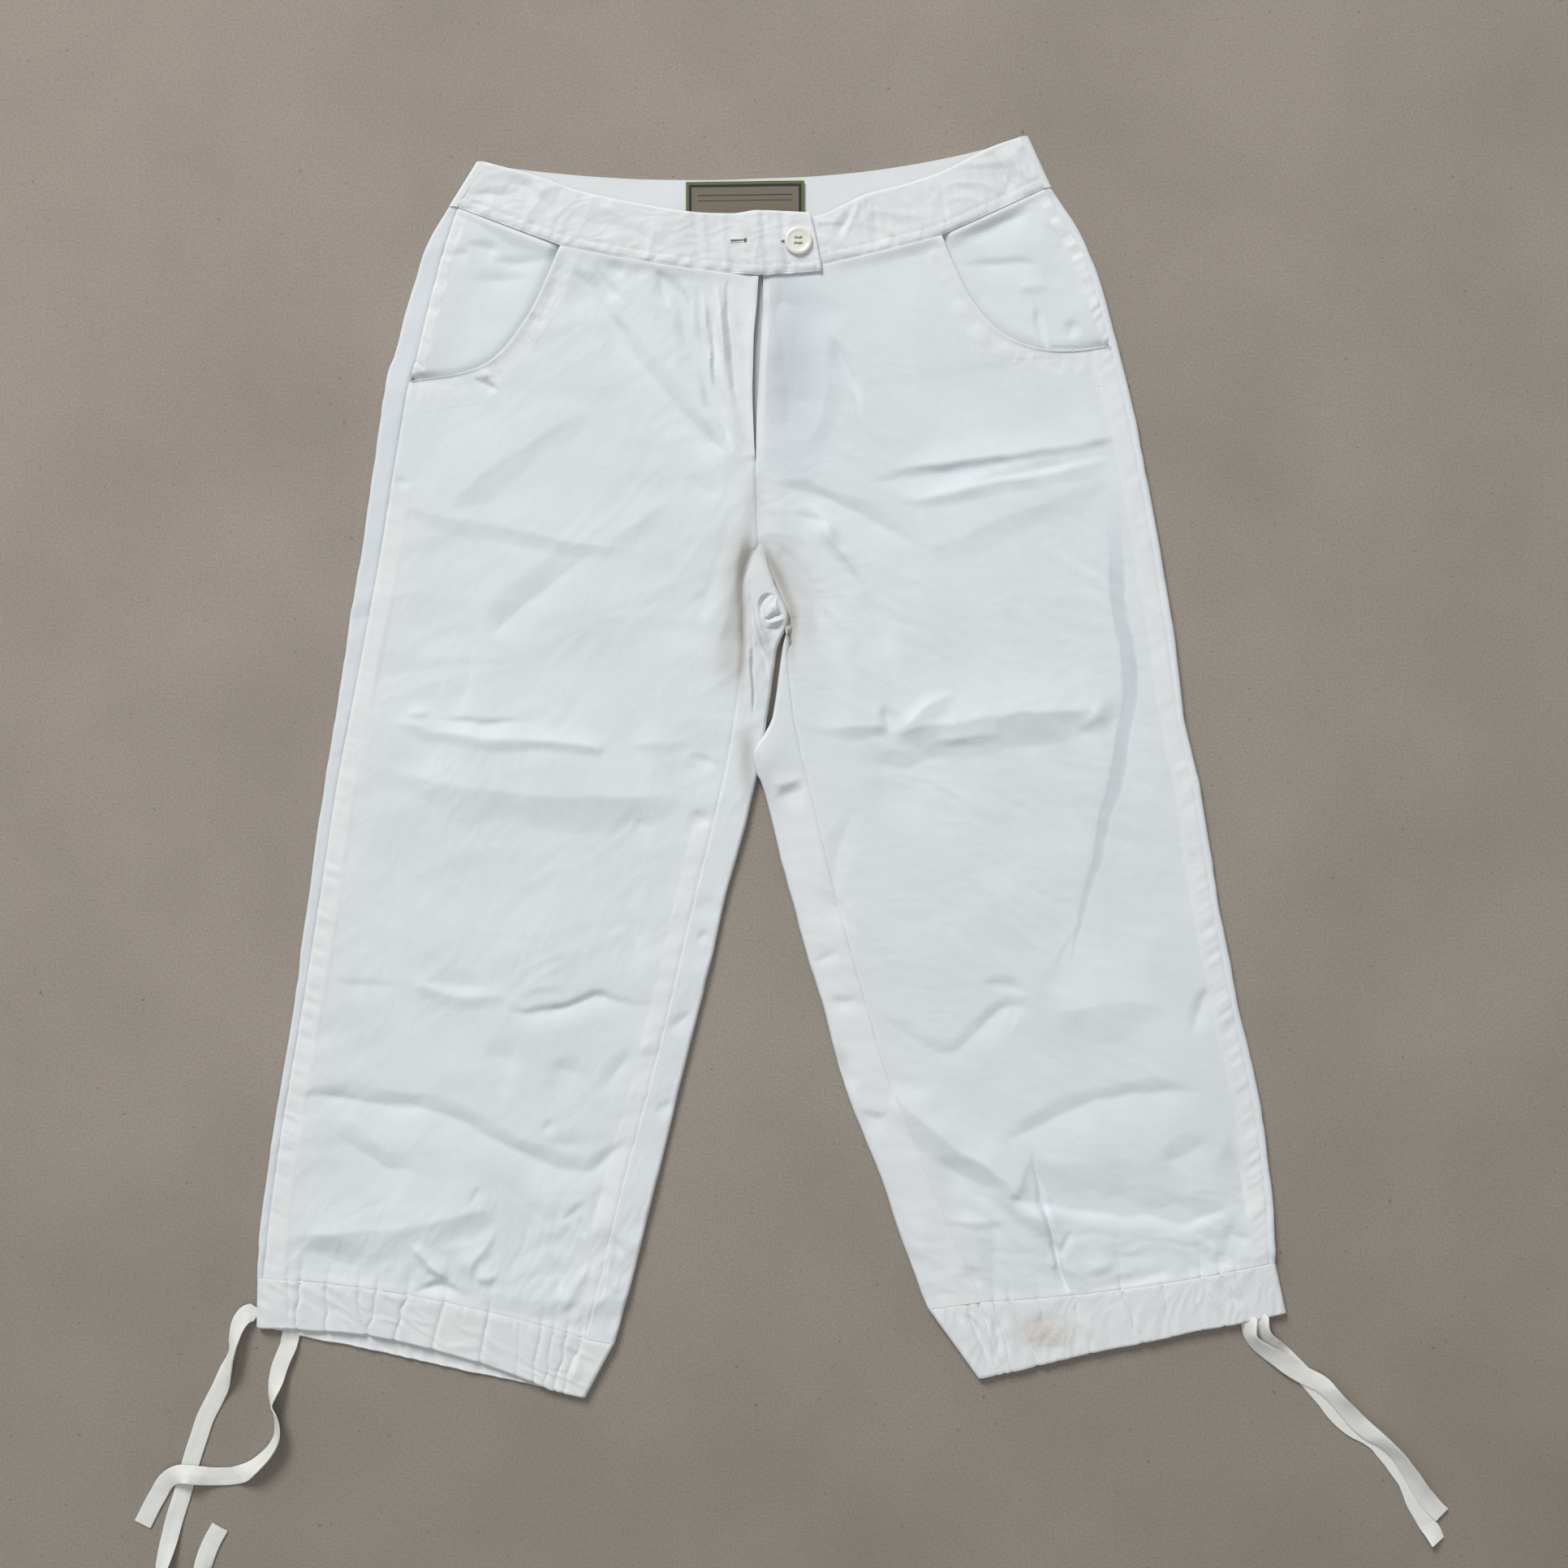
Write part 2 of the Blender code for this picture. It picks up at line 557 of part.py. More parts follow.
def mean_point(one, other):
    """Point half way between the last points of two lines."""
    return (one[-1] + other[-1]) / 2.0


def hem_casing(name, leg):
    """Gathered casing round one hem: a flattened ring of double cloth."""
    top = Row(*np.array(leg.rows[-1], float))
    down = np.array((leg.hem_row.side_x - top.side_x, leg.hem_row.side_y - top.side_y), float)
    share = GAP / np.hypot(*down)
    top = Row(*(np.array(top) * (1.0 - share) + np.array(leg.hem_row) * share))
    gathers = np.array(leg.gathers)
    places = np.sort(np.concatenate([[0.0, 1.0], gathers - GATHER_SPREAD, gathers,
                                     gathers + GATHER_SPREAD]))
    valley = np.isin(places, gathers) * GATHER_DEPTH
    centre = BAND_PILE / 2.0
    outer, inner = [], []
    for part in (0.0, 0.5, 1.0):
        row = Row(*(np.array(top) * (1.0 - part) + np.array(leg.hem_row) * part))
        front_bow = leg.bows.hem_front * (1.0 - part) + leg.hem_front * part
        back_bow = leg.bows.hem_back * (1.0 - part) + leg.hem_back * part
        start, direction, width = row_line(row)
        for offset, skin in ((0.0, outer), (DOUBLE, inner)):
            radius = centre - offset
            angles = np.linspace(0.0, pi, FOLD_CELLS + 1)
            front = row.fold + places * (width - row.fork - row.fold)
            floor = np.linspace(width - centre, centre, FLOOR_CELLS + 1)[1:-1]
            along = np.concatenate([front, width - centre + radius * np.sin(angles), floor,
                                    centre - radius * np.sin(angles)])
            height = np.concatenate([BAND_PILE - offset - valley * (1.0 - 0.4 * part),
                                     centre + radius * np.cos(angles),
                                     np.full(len(floor), offset),
                                     centre - radius * np.cos(angles)])
            plan = start + np.outer(along, direction)
            plan[:len(places), 1] -= sag(places, front_bow)
            below = slice(len(places) + FOLD_CELLS, len(places) + FOLD_CELLS + len(floor) + 2)
            plan[below, 1] -= sag(np.linspace(0.0, 1.0, FLOOR_CELLS + 1), back_bow)
            skin.append(np.column_stack([plan, height]))
    return wall(name, outer, inner, WARM_WHITE, closed=True)


def four_sided(name, corners, under, thick, color):
    """A thin flat piece of four corners, in a few rows."""
    top_left, top_right, low_right, low_left = (np.array(corner, float) for corner in corners)
    share = np.linspace(0.0, 1.0, 4)[:, None]
    down = np.linspace(0.0, 1.0, 4)[:, None, None]
    upper = top_left + share * (top_right - top_left)
    lower = low_left + share * (low_right - low_left)
    plan = upper * (1.0 - down) + lower * down
    return plate(name, plan, np.full(plan.shape[:2], under), thick, color)


def button(name):
    """Round four-hole button with a raised rim, on the tab."""
    floor = BAND_PILE + TAB_LIFT + GAP
    top = floor + BUTTON_THICK
    profile = ((0.0, floor), (BUTTON_RADIUS - 1.2, floor), (BUTTON_RADIUS, floor + 0.9),
               (BUTTON_RADIUS, top - 0.8), (BUTTON_RADIUS - 0.8, top),
               (BUTTON_RADIUS - 1.8, top), (BUTTON_RADIUS - 3.2, top - BUTTON_DISH),
               (0.0, top - BUTTON_DISH))
    sides = 32
    points, rings = [], []
    for radius, height in profile:
        if radius == 0.0:
            rings.append([len(points)] * sides)
            points.append((*BUTTON_CENTRE, height))
            continue
        turn = np.arange(sides) * 2.0 * pi / sides
        rings.append(list(range(len(points), len(points) + sides)))
        points.extend((BUTTON_CENTRE[0] + radius * np.cos(a), BUTTON_CENTRE[1] + radius * np.sin(a),
                       height) for a in turn)
    faces = []
    for low, high in zip(rings, rings[1:]):
        for i in range(sides):
            k = (i + 1) % sides
            quad = (low[i], low[k], high[k], high[i])
            faces.append(tuple(dict.fromkeys(quad)))
    body = put(name, points, faces, IVORY, 0.35)
    holes = thread_holes(floor, top)
    cut = body.modifiers.new("thread_holes", "BOOLEAN")
    cut.operation = "DIFFERENCE"
    cut.object = holes
    return body


def thread_holes(floor, top):
    """Hidden cutter for the button's four holes."""
    work = bmesh.new()
    for across in (-1, 1):
        for up in (-1, 1):
            made = bmesh.ops.create_cone(work, cap_ends=True, segments=12,
                                         radius1=BUTTON_HOLE * MM, radius2=BUTTON_HOLE * MM,
                                         depth=(top - floor + 2.0) * MM)
            place = (BUTTON_CENTRE[0] + across * BUTTON_HOLE_SPREAD,
                     BUTTON_CENTRE[1] + up * BUTTON_HOLE_SPREAD, (floor + top) / 2.0)
            bmesh.ops.translate(work, verts=made["verts"], vec=[value * MM for value in place])
    mesh = bpy.data.meshes.new("thread_holes")
    work.to_mesh(mesh)
    work.free()
    item = bpy.data.objects.new("thread_holes", mesh)
    item.hide_render = True
    item.display_type = "WIRE"
    bpy.context.scene.collection.objects.link(item)
    return item


def tape(name, route):
    """One free end of a flat drawstring: a strip carried along its route."""
    path = smooth(route, np.linspace(0, len(route) - 1, TAPE_STEPS * (len(route) - 1) + 1))
    tangent = np.gradient(path[:, 0:2], axis=0)
    tangent /= np.hypot(*tangent.T)[:, None]
    sideways = np.column_stack([-tangent[:, 1], tangent[:, 0]])
    roll = np.radians(path[:, 2])
    lift = np.maximum(path[:, 3], 0.0)
    half, thin = TAPE_WIDTH / 2.0, TAPE_THICK / 2.0
    middle = half * np.abs(np.sin(roll)) + thin * np.cos(roll) + lift
    centre = np.column_stack([path[:, 0:2], middle])
    across = np.column_stack([sideways * np.cos(roll)[:, None], np.sin(roll)]) * half
    upward = np.column_stack([-sideways * np.sin(roll)[:, None], np.cos(roll)]) * thin
    upper = np.stack([centre - across + upward, centre + across + upward], axis=1)
    lower = np.stack([centre - across - upward, centre + across - upward], axis=1)
    return wall(name, upper, lower, WARM_WHITE)


def main():
    """Build every piece of the pants."""
    clear_scene()
    back_panel("back_left", LEFT)
    back_panel("back_right", RIGHT)
    front_panel("front_left", LEFT)
    front_panel("front_right", RIGHT)
    pocket_facing("pocket_facing_left", LEFT)
    pocket_facing("pocket_facing_right", RIGHT)
    four_sided("fly_underlap", UNDERLAP_EDGES, INSIDE, CLOTH, WHITE)
    back_band("waistband_back")
    front_band("waistband_front_left", LEFT, LEFT_BAND_TOP, TAB_LOWER)
    front_band("waistband_front_right", RIGHT, RIGHT_BAND_TOP)
    hem_casing("hem_casing_left", LEFT)
    hem_casing("hem_casing_right", RIGHT)
    four_sided("label", LABEL_CORNERS, DOUBLE + GAP, LABEL_THICK, BEIGE)
    button("button")
    tape("drawstring_left_long", LEFT_LONG_TAPE)
    tape("drawstring_left_short", LEFT_SHORT_TAPE)
    tape("drawstring_right_upper", RIGHT_UPPER_TAPE)
    tape("drawstring_right_lower", RIGHT_LOWER_TAPE)


main()
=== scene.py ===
"""White cotton capri pants, laid flat and face up on a floor.

+X is the viewer's right, +Y runs up the pants to the waist and the floor is
z = 0.  Tables and sizes are in millimetres, and put() turns them into metres.
"Left" and "right" are the viewer's.
"""

from collections import namedtuple
from functools import partial
from math import pi

import bpy
import numpy as np
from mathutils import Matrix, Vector


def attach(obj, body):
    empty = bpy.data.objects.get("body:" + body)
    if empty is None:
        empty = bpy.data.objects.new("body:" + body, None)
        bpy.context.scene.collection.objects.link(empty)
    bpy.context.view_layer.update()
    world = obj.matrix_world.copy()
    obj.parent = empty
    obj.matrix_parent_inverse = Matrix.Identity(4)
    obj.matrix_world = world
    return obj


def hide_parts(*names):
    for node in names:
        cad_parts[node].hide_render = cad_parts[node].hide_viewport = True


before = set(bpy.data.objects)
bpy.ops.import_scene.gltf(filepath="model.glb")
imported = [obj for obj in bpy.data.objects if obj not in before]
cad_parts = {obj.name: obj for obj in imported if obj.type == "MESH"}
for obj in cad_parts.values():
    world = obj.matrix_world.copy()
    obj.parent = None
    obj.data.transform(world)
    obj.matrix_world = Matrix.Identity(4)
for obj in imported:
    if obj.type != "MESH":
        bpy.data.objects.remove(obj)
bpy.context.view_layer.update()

bl_info = {
    "name": "Capri Pants Laid Flat",
    "version": (1, 0, 0),
    "blender": (4, 5, 0),
    "location": "View3D > Sidebar > Pants",
    "description": "Creased cotton capri pants with gathered hems and drawstring ends",
    "category": "Object",
}

MM = 0.001              # metres in a millimetre

GAP = 0.1               # clear space between two pieces at a seam
SINGLE = 0.8            # wall of a single panel
DOUBLE = 1.4            # wall of the waistband and the hem casings
PILE = 5.5              # height of a front panel's face over the floor
BAND_PILE = 6.1         # height of the waistband's and the casings' faces
INSIDE = 3.2            # face of the pieces between front and back
TAB_LIFT = 1.9          # rise of the waistband's tab onto the other end
POCKET_ROW = 5          # row of a leg table where the pocket meets the seam

# ---- leg tables

# A row is one line across a leg, from the side seam to the inner fold.  fold
# and fork say how far the seams lie in from the folds, and curl is 1 where
# the inner edge is rolled right over.
Row = namedtuple("Row", "side_x side_y fold inner_x inner_y fork curl")

LEFT_ROWS = [Row(*row) for row in (
    (-215, 383, 6.5, -8.5, 363, 3, 0),
    (-224, 357, 12, -8.5, 337, 3, 0),
    (-231, 331, 13.5, -8.5, 312, 3, 0),
    (-238, 303, 15, -8.5, 287, 3, 0),
    (-243, 281, 16, -8.5, 264, 3, 0),
    (-248, 264, 16.5, -8.5, 242, 3, 0),
    (-258, 209, 14.5, -8.5, 198, 3, 0),
    (-266, 158, 14, -4.5, 152, 5, 1),
    (-271, 129, 13.5, 1.2, 128, 19.5, 1),
    (-276, 103, 13, 11.2, 103, 30, 1),
    (-280, 81, 12, 3.5, 81, 23, 1),
    (-288, 39, 10.5, -2.5, 39, 22, 1),
    (-298, -14, 9, -12, -14, 22.5, 1),
    (-310, -93, 8, -33, -93, 21, 1),
    (-320, -156, 7, -47.5, -158, 21.5, 1),
    (-331, -220, 6, -64, -222, 21, 1),
    (-338, -266, 5.5, -79.5, -283, 22, 1),
    (-344, -311, 6, -93.5, -341, 21.5, 1),
    (-348, -349, 4.5, -108, -394, 20, 1),
)]

RIGHT_ROWS = [Row(*row) for row in (
    (186, 396, 5.5, -7.5, 363, 3, 0),
    (200, 372, 7, -7.5, 339, 3, 0),
    (212, 352, 5, -7.5, 314, 3, 0),
    (220, 331, 5, -7.5, 290, 3, 0),
    (226, 310, 5, -7.5, 266, 3, 0),
    (232, 288, 5, -7.5, 243, 3, 0),
    (246, 228, 5, -7.5, 198, 3, 0),
    (257, 170, 5, -7, 154, 3, 0),
    (263, 134, 5, -0.5, 130, 3, 0),
    (268, 103, 5, 11, 103, 3, 0),
    (272, 78, 5, 6.5, 78, 4, 1),
    (277, 39, 4.5, 1, 39, 13, 1),
    (280, 23, 4.7, -5.5, 23, 22.5, 1),
    (283, 9.7, 5, -13.5, 9.7, 33, 1),
    (286, -4, 5, -10.5, -4, 34, 1),
    (289, -18, 5, -5, -18, 31.5, 1),
    (301, -93, 5, 14, -93, 31, 1),
    (313, -156, 5, 32.5, -156, 30, 1),
    (327, -220, 5, 51, -220, 31, 1),
    (334, -262, 5, 72.5, -276, 32, 1),
    (338, -301, 5, 89, -323, 35, 1),
    (340, -339, 4.5, 106.5, -370, 37, 1),
)]

# Points (x, y) on each row from the waist seam down: the scooped pocket
# edge, the front's edge at the fly and crotch, and the facing's inner edge.
LEFT_POCKET = ((-145, 357), (-155, 333), (-168, 307), (-190, 280), (-215, 269), (-248, 264))
RIGHT_POCKET = ((116, 364), (125, 342), (138, 318), (160, 296), (194, 285), (232, 288))
LEFT_CENTRE = (
    (-9.3, 336), (-10.6, 316), (-12.4, 297), (-13.0, 278), (-13.4, 259), (-13.0, 240), (-11.2, 198),
    (-9.4, 152),
)
RIGHT_CENTRE = (
    (-6.2, 335), (-6.3, 316), (-7.6, 297), (-8.6, 278), (-9.6, 259), (-10.6, 240), (-11.0, 198),
    (-9.2, 152), (1.5, 128), (11.6, 103),
)
LEFT_FACING = ((-129, 349), (-139, 323), (-155, 296), (-176, 268), (-201, 251), (-226, 242))
RIGHT_FACING = ((100, 356), (108, 332), (123, 304), (146, 281), (182, 268), (219, 269))

# Topstitching on the fronts: the fly's J, and the outlines of the pocket bags.
FLY_STITCH = ((-42, 333), (-42, 300), (-40, 268), (-35, 240), (-25, 222), (-13, 213))
LEFT_BAG = ((-238, 243), (-222, 246), (-205, 248), (-186, 256))
RIGHT_BAG = ((95, 355), (102, 339), (110, 320), (121, 300), (138, 283), (158, 273), (185, 261),
    (208, 259), (228, 262))

# How far the middle of a row sinks below the straight line between its ends.
Bows = namedtuple("Bows", "waist_front waist_back hem_front hem_back")
BOW_ROWS = 4.0          # rows over which a bow fades out

# A crease: its height, negative for a trough, how far it spreads to the left
# and to the right of its line, and the line itself.
Crease = namedtuple("Crease", "height left right line")


def crease_table(*rows):
    """Creases whose rows give height, left and right, and then their points."""
    return [Crease(*row[:3], row[3:]) for row in rows]



# Painted shade beside the fork, along the fly's slit and under the crossing
# leg, with some grey soil at the crotch: how strong, how far to either side,
# and along which line.
SHADE_AND_SOIL = crease_table(
    (0.75, 3, 3, (-13, 158), (-18, 147), (-21, 134), (-21.5, 116), (-20.5, 98), (-21, 72), (-24, 40)),
    (0.44, 8, 10, (-16, 170), (-24, 142), (-27, 122), (-28, 90), (-31, 40)),
    (0.70, 3.6, 3.6, (-9, 160), (-4, 147), (3, 134), (9, 120), (14, 105), (13, 84), (12, 60)),
    (0.34, 12, 12, (-4, 160), (12, 130), (20, 110), (20, 70)),
    (0.42, 5, 5, (-12, 212), (-12, 190), (-14, 168), (-20, 148), (-24, 130)),
    (0.20, 12, 12, (-6, 150), (-10, 120), (-10, 86), (-14, 30)),
    (0.62, 6, 6, (-17, 34), (-17, 6), (-15, -30)),
    (0.55, 2.4, 2.4, (-8.5, 337), (-9, 318), (-10.5, 292), (-11.5, 262), (-12, 236)),
    (0.20, 5, 5, (-28, 332), (-27, 290), (-24, 240), (-16, 214)),
)

LEFT_CREASES = crease_table(
    (-2.7, 5, 6, (-140, 342), (-126, 331), (-112, 309), (-98, 287), (-73, 259), (-59, 239), (-42, 223),
        (-27, 213)),
    (-2.6, 4, 5, (-87, 345), (-73, 334), (-62, 320), (-58, 298), (-51, 278), (-40, 259), (-33, 242),
        (-27, 220)),
    (-1, 3, 4, (-112, 349), (-106, 342), (-101, 335)),
    (-3, 3.4, 2.6, (-30, 338), (-30, 318), (-28, 296), (-25, 262), (-22, 240)),
    (-2.2, 2.5, 3.5, (-44, 322), (-41, 300), (-38, 264), (-33, 240), (-26, 214)),
    (1.9, 2, 2.2, (-36, 336), (-36, 312), (-34, 290), (-31, 262)),
    (-2.8, 1.8, 3, (-52, 336), (-48, 300), (-44, 266), (-37, 244), (-31, 229), (-25, 215)),
    (1.8, 1.6, 2.2, (-48, 334), (-45, 300), (-41, 268), (-36, 246)),
    (-1.6, 2, 2.6, (-66, 340), (-60, 318), (-52, 292), (-47, 270)),
    (-1.3, 2.4, 3, (-122, 346), (-112, 330), (-100, 318)),
    (-1.2, 2, 2.4, (-78, 341), (-74, 326), (-70, 314)),
    (1.4, 22, 8, (-229, 174), (-190, 206), (-156, 228), (-120, 246)),
    (1.4, 18, 6, (-254, 180), (-229, 173), (-195, 167), (-151, 157), (-117, 152), (-95, 152)),
    (-1.8, 8, 11, (-117, 152), (-140, 134), (-162, 117), (-184, 98), (-195, 88)),
    (1.1, 7, 5, (-67, 184), (-84, 175), (-101, 162), (-117, 152)),
    (-1.1, 6, 5, (-60, 200), (-48, 192), (-34, 184)),
    (-1.3, 5, 6, (-29, 175), (-34, 148), (-42, 123), (-56, 92)),
    (1.6, 5, 6, (-19, 162), (-24, 142), (-31, 109), (-40, 73)),
    (-1.2, 1.6, 2, (-206, 267), (-195, 262), (-184, 256)),
    (1, 2, 2.5, (-203, 272), (-196, 269), (-188, 268)),
    (-0.9, 2, 2.5, (-168, 309), (-160, 306), (-151, 305)),
    (-0.8, 2, 3, (-259, 197), (-253, 196), (-246, 195)),
    (1.8, 4, 5, (-268, 33), (-240, 28), (-212, 22), (-184, 19), (-151, 17), (-123, 14), (-114, 11)),
    (-1.4, 2.5, 3.5, (-237, 35), (-217, 32), (-198, 30), (-179, 31), (-162, 33)),
    (1, 3, 2.5, (-254, 38), (-243, 37), (-232, 38)),
    (0.9, 3, 4, (-101, 15), (-76, 16), (-56, 18)),
    (-1.3, 2.5, 3.5, (-60, 8), (-48, 6), (-34, 1)),
    (2.5, 22, 12, (-256, 0), (-223, -12), (-190, -15), (-151, -20), (-112, -20), (-84, -19),
        (-59, -19)),
    (-0.8, 3, 4, (-95, -38), (-79, -42)),
    (-1.3, 4, 5, (-56, -29), (-42, -38)),
    (-1.2, 6, 7, (-104, -94), (-95, -108), (-94, -130), (-88, -147)),
    (-0.9, 4, 5, (-304, -147), (-279, -149), (-251, -149)),
    (-1.3, 5, 3, (-242, -146), (-216, -149), (-190, -149)),
    (1.3, 3, 5, (-248, -152), (-240, -149), (-217, -156), (-190, -156), (-168, -163)),
    (-2.2, 3, 4, (-184, -163), (-170, -167), (-156, -166), (-140, -163), (-120, -156), (-106, -160),
        (-73, -163)),
    (1.1, 4, 3, (-170, -155), (-156, -149), (-140, -150)),
    (-1.1, 9, 10, (-201, -200), (-184, -198), (-170, -200)),
    (-1.3, 9, 10, (-156, -202), (-140, -208), (-123, -213)),
    (-1.8, 4, 6, (-95, -188), (-106, -208), (-120, -227)),
    (1, 4, 4, (-74, -180), (-85, -188), (-95, -197)),
    (-2.8, 6, 6, (-331, -226), (-306, -225), (-281, -228), (-262, -231), (-237, -233), (-217, -240),
        (-195, -252), (-173, -263), (-154, -272), (-126, -276), (-112, -266), (-95, -251)),
    (-2, 6, 7, (-309, -241), (-298, -249), (-281, -263), (-265, -273), (-250, -275), (-231, -285)),
    (-0.9, 2, 2.5, (-159, -249), (-149, -240)),
    (-1.1, 6, 6, (-162, -255), (-140, -257), (-120, -256)),
    (3.2, 14, 10, (-338, -322), (-302, -318), (-262, -316), (-229, -311), (-209, -304), (-186, -301)),
    (-1.8, 8, 7, (-331, -328), (-307, -335), (-283, -341), (-268, -341)),
    (3.6, 3, 4.2, (-250, -324), (-240, -332), (-229, -344), (-219, -352)),
    (2.2, 3, 4.6, (-187, -313), (-198, -330), (-206, -342), (-207, -354)),
    (2.2, 2.4, 3, (-205, -349), (-186, -347)),
    (-2.8, 3, 3, (-248, -361), (-229, -355), (-209, -361)),
    (-1.5, 2.6, 3.6, (-144, -309), (-136, -304), (-125, -294)),
    (-1.2, 2, 2.5, (-131, -305), (-127, -323)),
    (1.9, 4, 5, (-124, -337), (-136, -359), (-144, -373)),
    (-1.2, 8, 9, (-195, -278), (-176, -292), (-160, -306), (-150, -313)),
    (-0.9, 2, 2.5, (-209, -301), (-199, -285)),
    (-1.4, 4, 4, (-109, -284), (-117, -294), (-124, -316)),
    (-2, 5, 5, (-155, -330), (-145, -349), (-152, -363)),
    (-1, 5, 5, (-37, -88), (-46, -94), (-56, -102)),
    (-1.1, 3, 3, (-42, -111), (-51, -119)),
    (-1.4, 3, 4, (-54, -166), (-64, -174), (-74, -180)),
    (-1.1, 3, 3, (-67, -227), (-81, -238)),
    (-1.2, 3, 3, (-110, -320), (-98, -335)),
    (1.2, 3, 3, (-114, -340), (-104, -361)),
    (-2.5, 1.6, 2.4, (-14, 126), (-14, 112), (-12, 98), (-8, 84), (-4, 70), (-1, 58)),
    (1.6, 1.6, 2.4, (-11, 112), (-10, 98), (-6, 84), (-2, 72)),
    (1.4, 2, 2.4, (-18, 96), (-16, 78), (-14, 56), (-13, 30)),
    (-2, 1.2, 1.6, (-14, 92), (-13, 72), (-12, 50), (-11, 30)),
    (-1.4, 1.4, 2, (-19, 120), (-18, 104), (-18, 88)),
    (1.7, 6, 5, (-2, 112), (2, 109), (6, 109)),
    (-2.1, 1.1, 1.5, (4, 118.5), (-2, 118), (-6.5, 113), (-7.5, 107), (-6, 101.5)),
    (-2.4, 1.1, 1, (-6.5, 102.5), (-3, 101.5), (1, 103.5), (5, 104.2), (9, 103.4)),
    (1.2, 1.4, 1.8, (-5, 98.5), (0, 98.8), (5, 100), (10, 101.5)),
    (-1.1, 1.4, 1.8, (-6, 96), (-1, 94.5), (4, 95.5), (9, 98)),
)

RIGHT_CREASES = crease_table(
    (-3, 22, 9, (5, 336), (9, 300), (12, 262), (8, 222)),
    (1, 7, 8, (28, 300), (37, 268), (34, 240), (18, 212)),
    (-2.6, 4, 3, (37, 300), (46, 281), (55, 262), (63, 237)),
    (1.9, 5, 3, (77, 203), (110, 207), (144, 212), (166, 214), (194, 219), (221, 223), (238, 226)),
    (-1.1, 3, 3, (60, 195), (88, 198), (116, 201), (149, 207), (166, 211)),
    (1.9, 3, 5, (82, 181), (116, 187), (149, 194), (182, 200), (210, 206), (235, 212)),
    (-1.4, 3, 3, (127, 191), (155, 198), (182, 204), (210, 209), (238, 215)),
    (-1.9, 5, 7, (-6, 195), (16, 191), (38, 184), (60, 174), (82, 162), (105, 149)),
    (1.4, 22, 9, (105, 149), (116, 153), (149, 167), (182, 180), (210, 191), (232, 203)),
    (2.8, 2.6, 5, (21, 184), (35, 169), (44, 153), (55, 139), (69, 117)),
    (-1.2, 2, 3, (13, 175), (27, 171), (41, 169)),
    (-2.4, 8, 7, (-6, 164), (7, 150), (21, 128), (32, 109), (44, 84), (52, 62)),
    (-1.8, 8, 8, (27, 162), (44, 148), (60, 123), (74, 92), (85, 59)),
    (1.4, 7, 7, (34, 118), (46, 90), (52, 70)),
    (-2, 6, 6, (2, 150), (16, 132), (28, 108), (34, 84)),
    (2.5, 8, 5, (16, 28), (44, 27), (66, 29), (78, 27), (84, 20)),
    (4.2, 9, 11, (80, 15), (99, 28), (127, 30), (160, 36), (188, 39), (210, 40), (221, 36), (232, 24)),
    (-1.8, 7, 8, (56, 8), (74, 4), (92, 0), (108, 6), (130, 8)),
    (1.4, 5, 4, (108, 16), (124, 19), (146, 22), (160, 24)),
    (1.7, 3, 9, (82, 19), (94, 31), (110, 45), (127, 53)),
    (-2, 5, 4, (77, 45), (79, 32), (82, 20)),
    (-0.8, 14, 9, (58, -12), (83, -16), (112, -12)),
    (-1.3, 6, 6, (57, -24), (46, -52), (42, -74), (46, -97), (63, -119)),
    (1.2, 14, 8, (130, -74), (152, -86), (166, -108), (188, -136), (199, -141)),
    (-1.3, 4, 5, (139, -147), (160, -148), (177, -154)),
    (-1.6, 5, 6, (66, -163), (88, -180), (105, -192), (124, -195), (138, -183), (155, -166),
        (171, -163), (182, -174)),
    (2.1, 18, 14, (182, -169), (210, -165), (238, -161), (277, -161)),
    (-1.7, 5, 5, (302, -147), (294, -163), (285, -186)),
    (-2.1, 6, 7, (155, -259), (177, -247), (207, -233), (230, -226), (263, -222), (299, -223)),
    (3.8, 8, 8, (80, -213), (93, -232), (113, -250), (133, -264), (147, -272), (167, -292), (184, -309),
        (197, -329)),
    (-1.8, 8, 8, (103, -272), (125, -277), (145, -287), (160, -297)),
    (-3.6, 1.8, 2.4, (177, -256), (182, -280), (187, -302), (193, -321), (197, -339), (203, -361),
        (201, -368)),
    (-1.9, 2.2, 2.5, (208, -313), (199, -329), (197, -339)),
    (1.4, 2.5, 2, (191, -330), (194, -345)),
    (-3.6, 20, 2.6, (160, -293), (172, -297), (199, -300), (236, -304), (273, -308), (291, -309),
        (320, -298)),
    (-2.3, 4, 5, (313, -245), (317, -267), (326, -292), (320, -312)),
    (-1.7, 8, 8, (258, -270), (283, -265), (300, -252)),
    (1.2, 3, 4, (115, -309), (133, -310), (145, -312), (165, -307)),
    (-1.5, 3, 6, (150, -312), (155, -336), (168, -355)),
    (-1.2, 3, 4, (135, -339), (142, -358)),
    (-1.9, 6, 3, (211, -358), (236, -357), (256, -351), (278, -339)),
    (1.4, 3, 4, (214, -344), (236, -334)),
    (-1.8, 5, 6, (305, -316), (318, -320), (332, -326)),
    (-1.3, 3, 4, (305, -329), (315, -344)),
    (1.5, 4, 3, (-4, -12), (10, -11), (24, -7)),
    (-1.9, 3, 4, (-1, -20), (12, -18), (25, -14)),
    (-1.2, 3, 3, (27, -133), (36, -131), (46, -126)),
    (-1.2, 3, 3, (38, -158), (50, -160), (60, -156)),
    (-1.4, 3, 4, (57, -233), (66, -238), (74, -240), (82, -234)),
    (-1.7, 5, 4, (45, -188), (51, -208), (57, -227)),
)
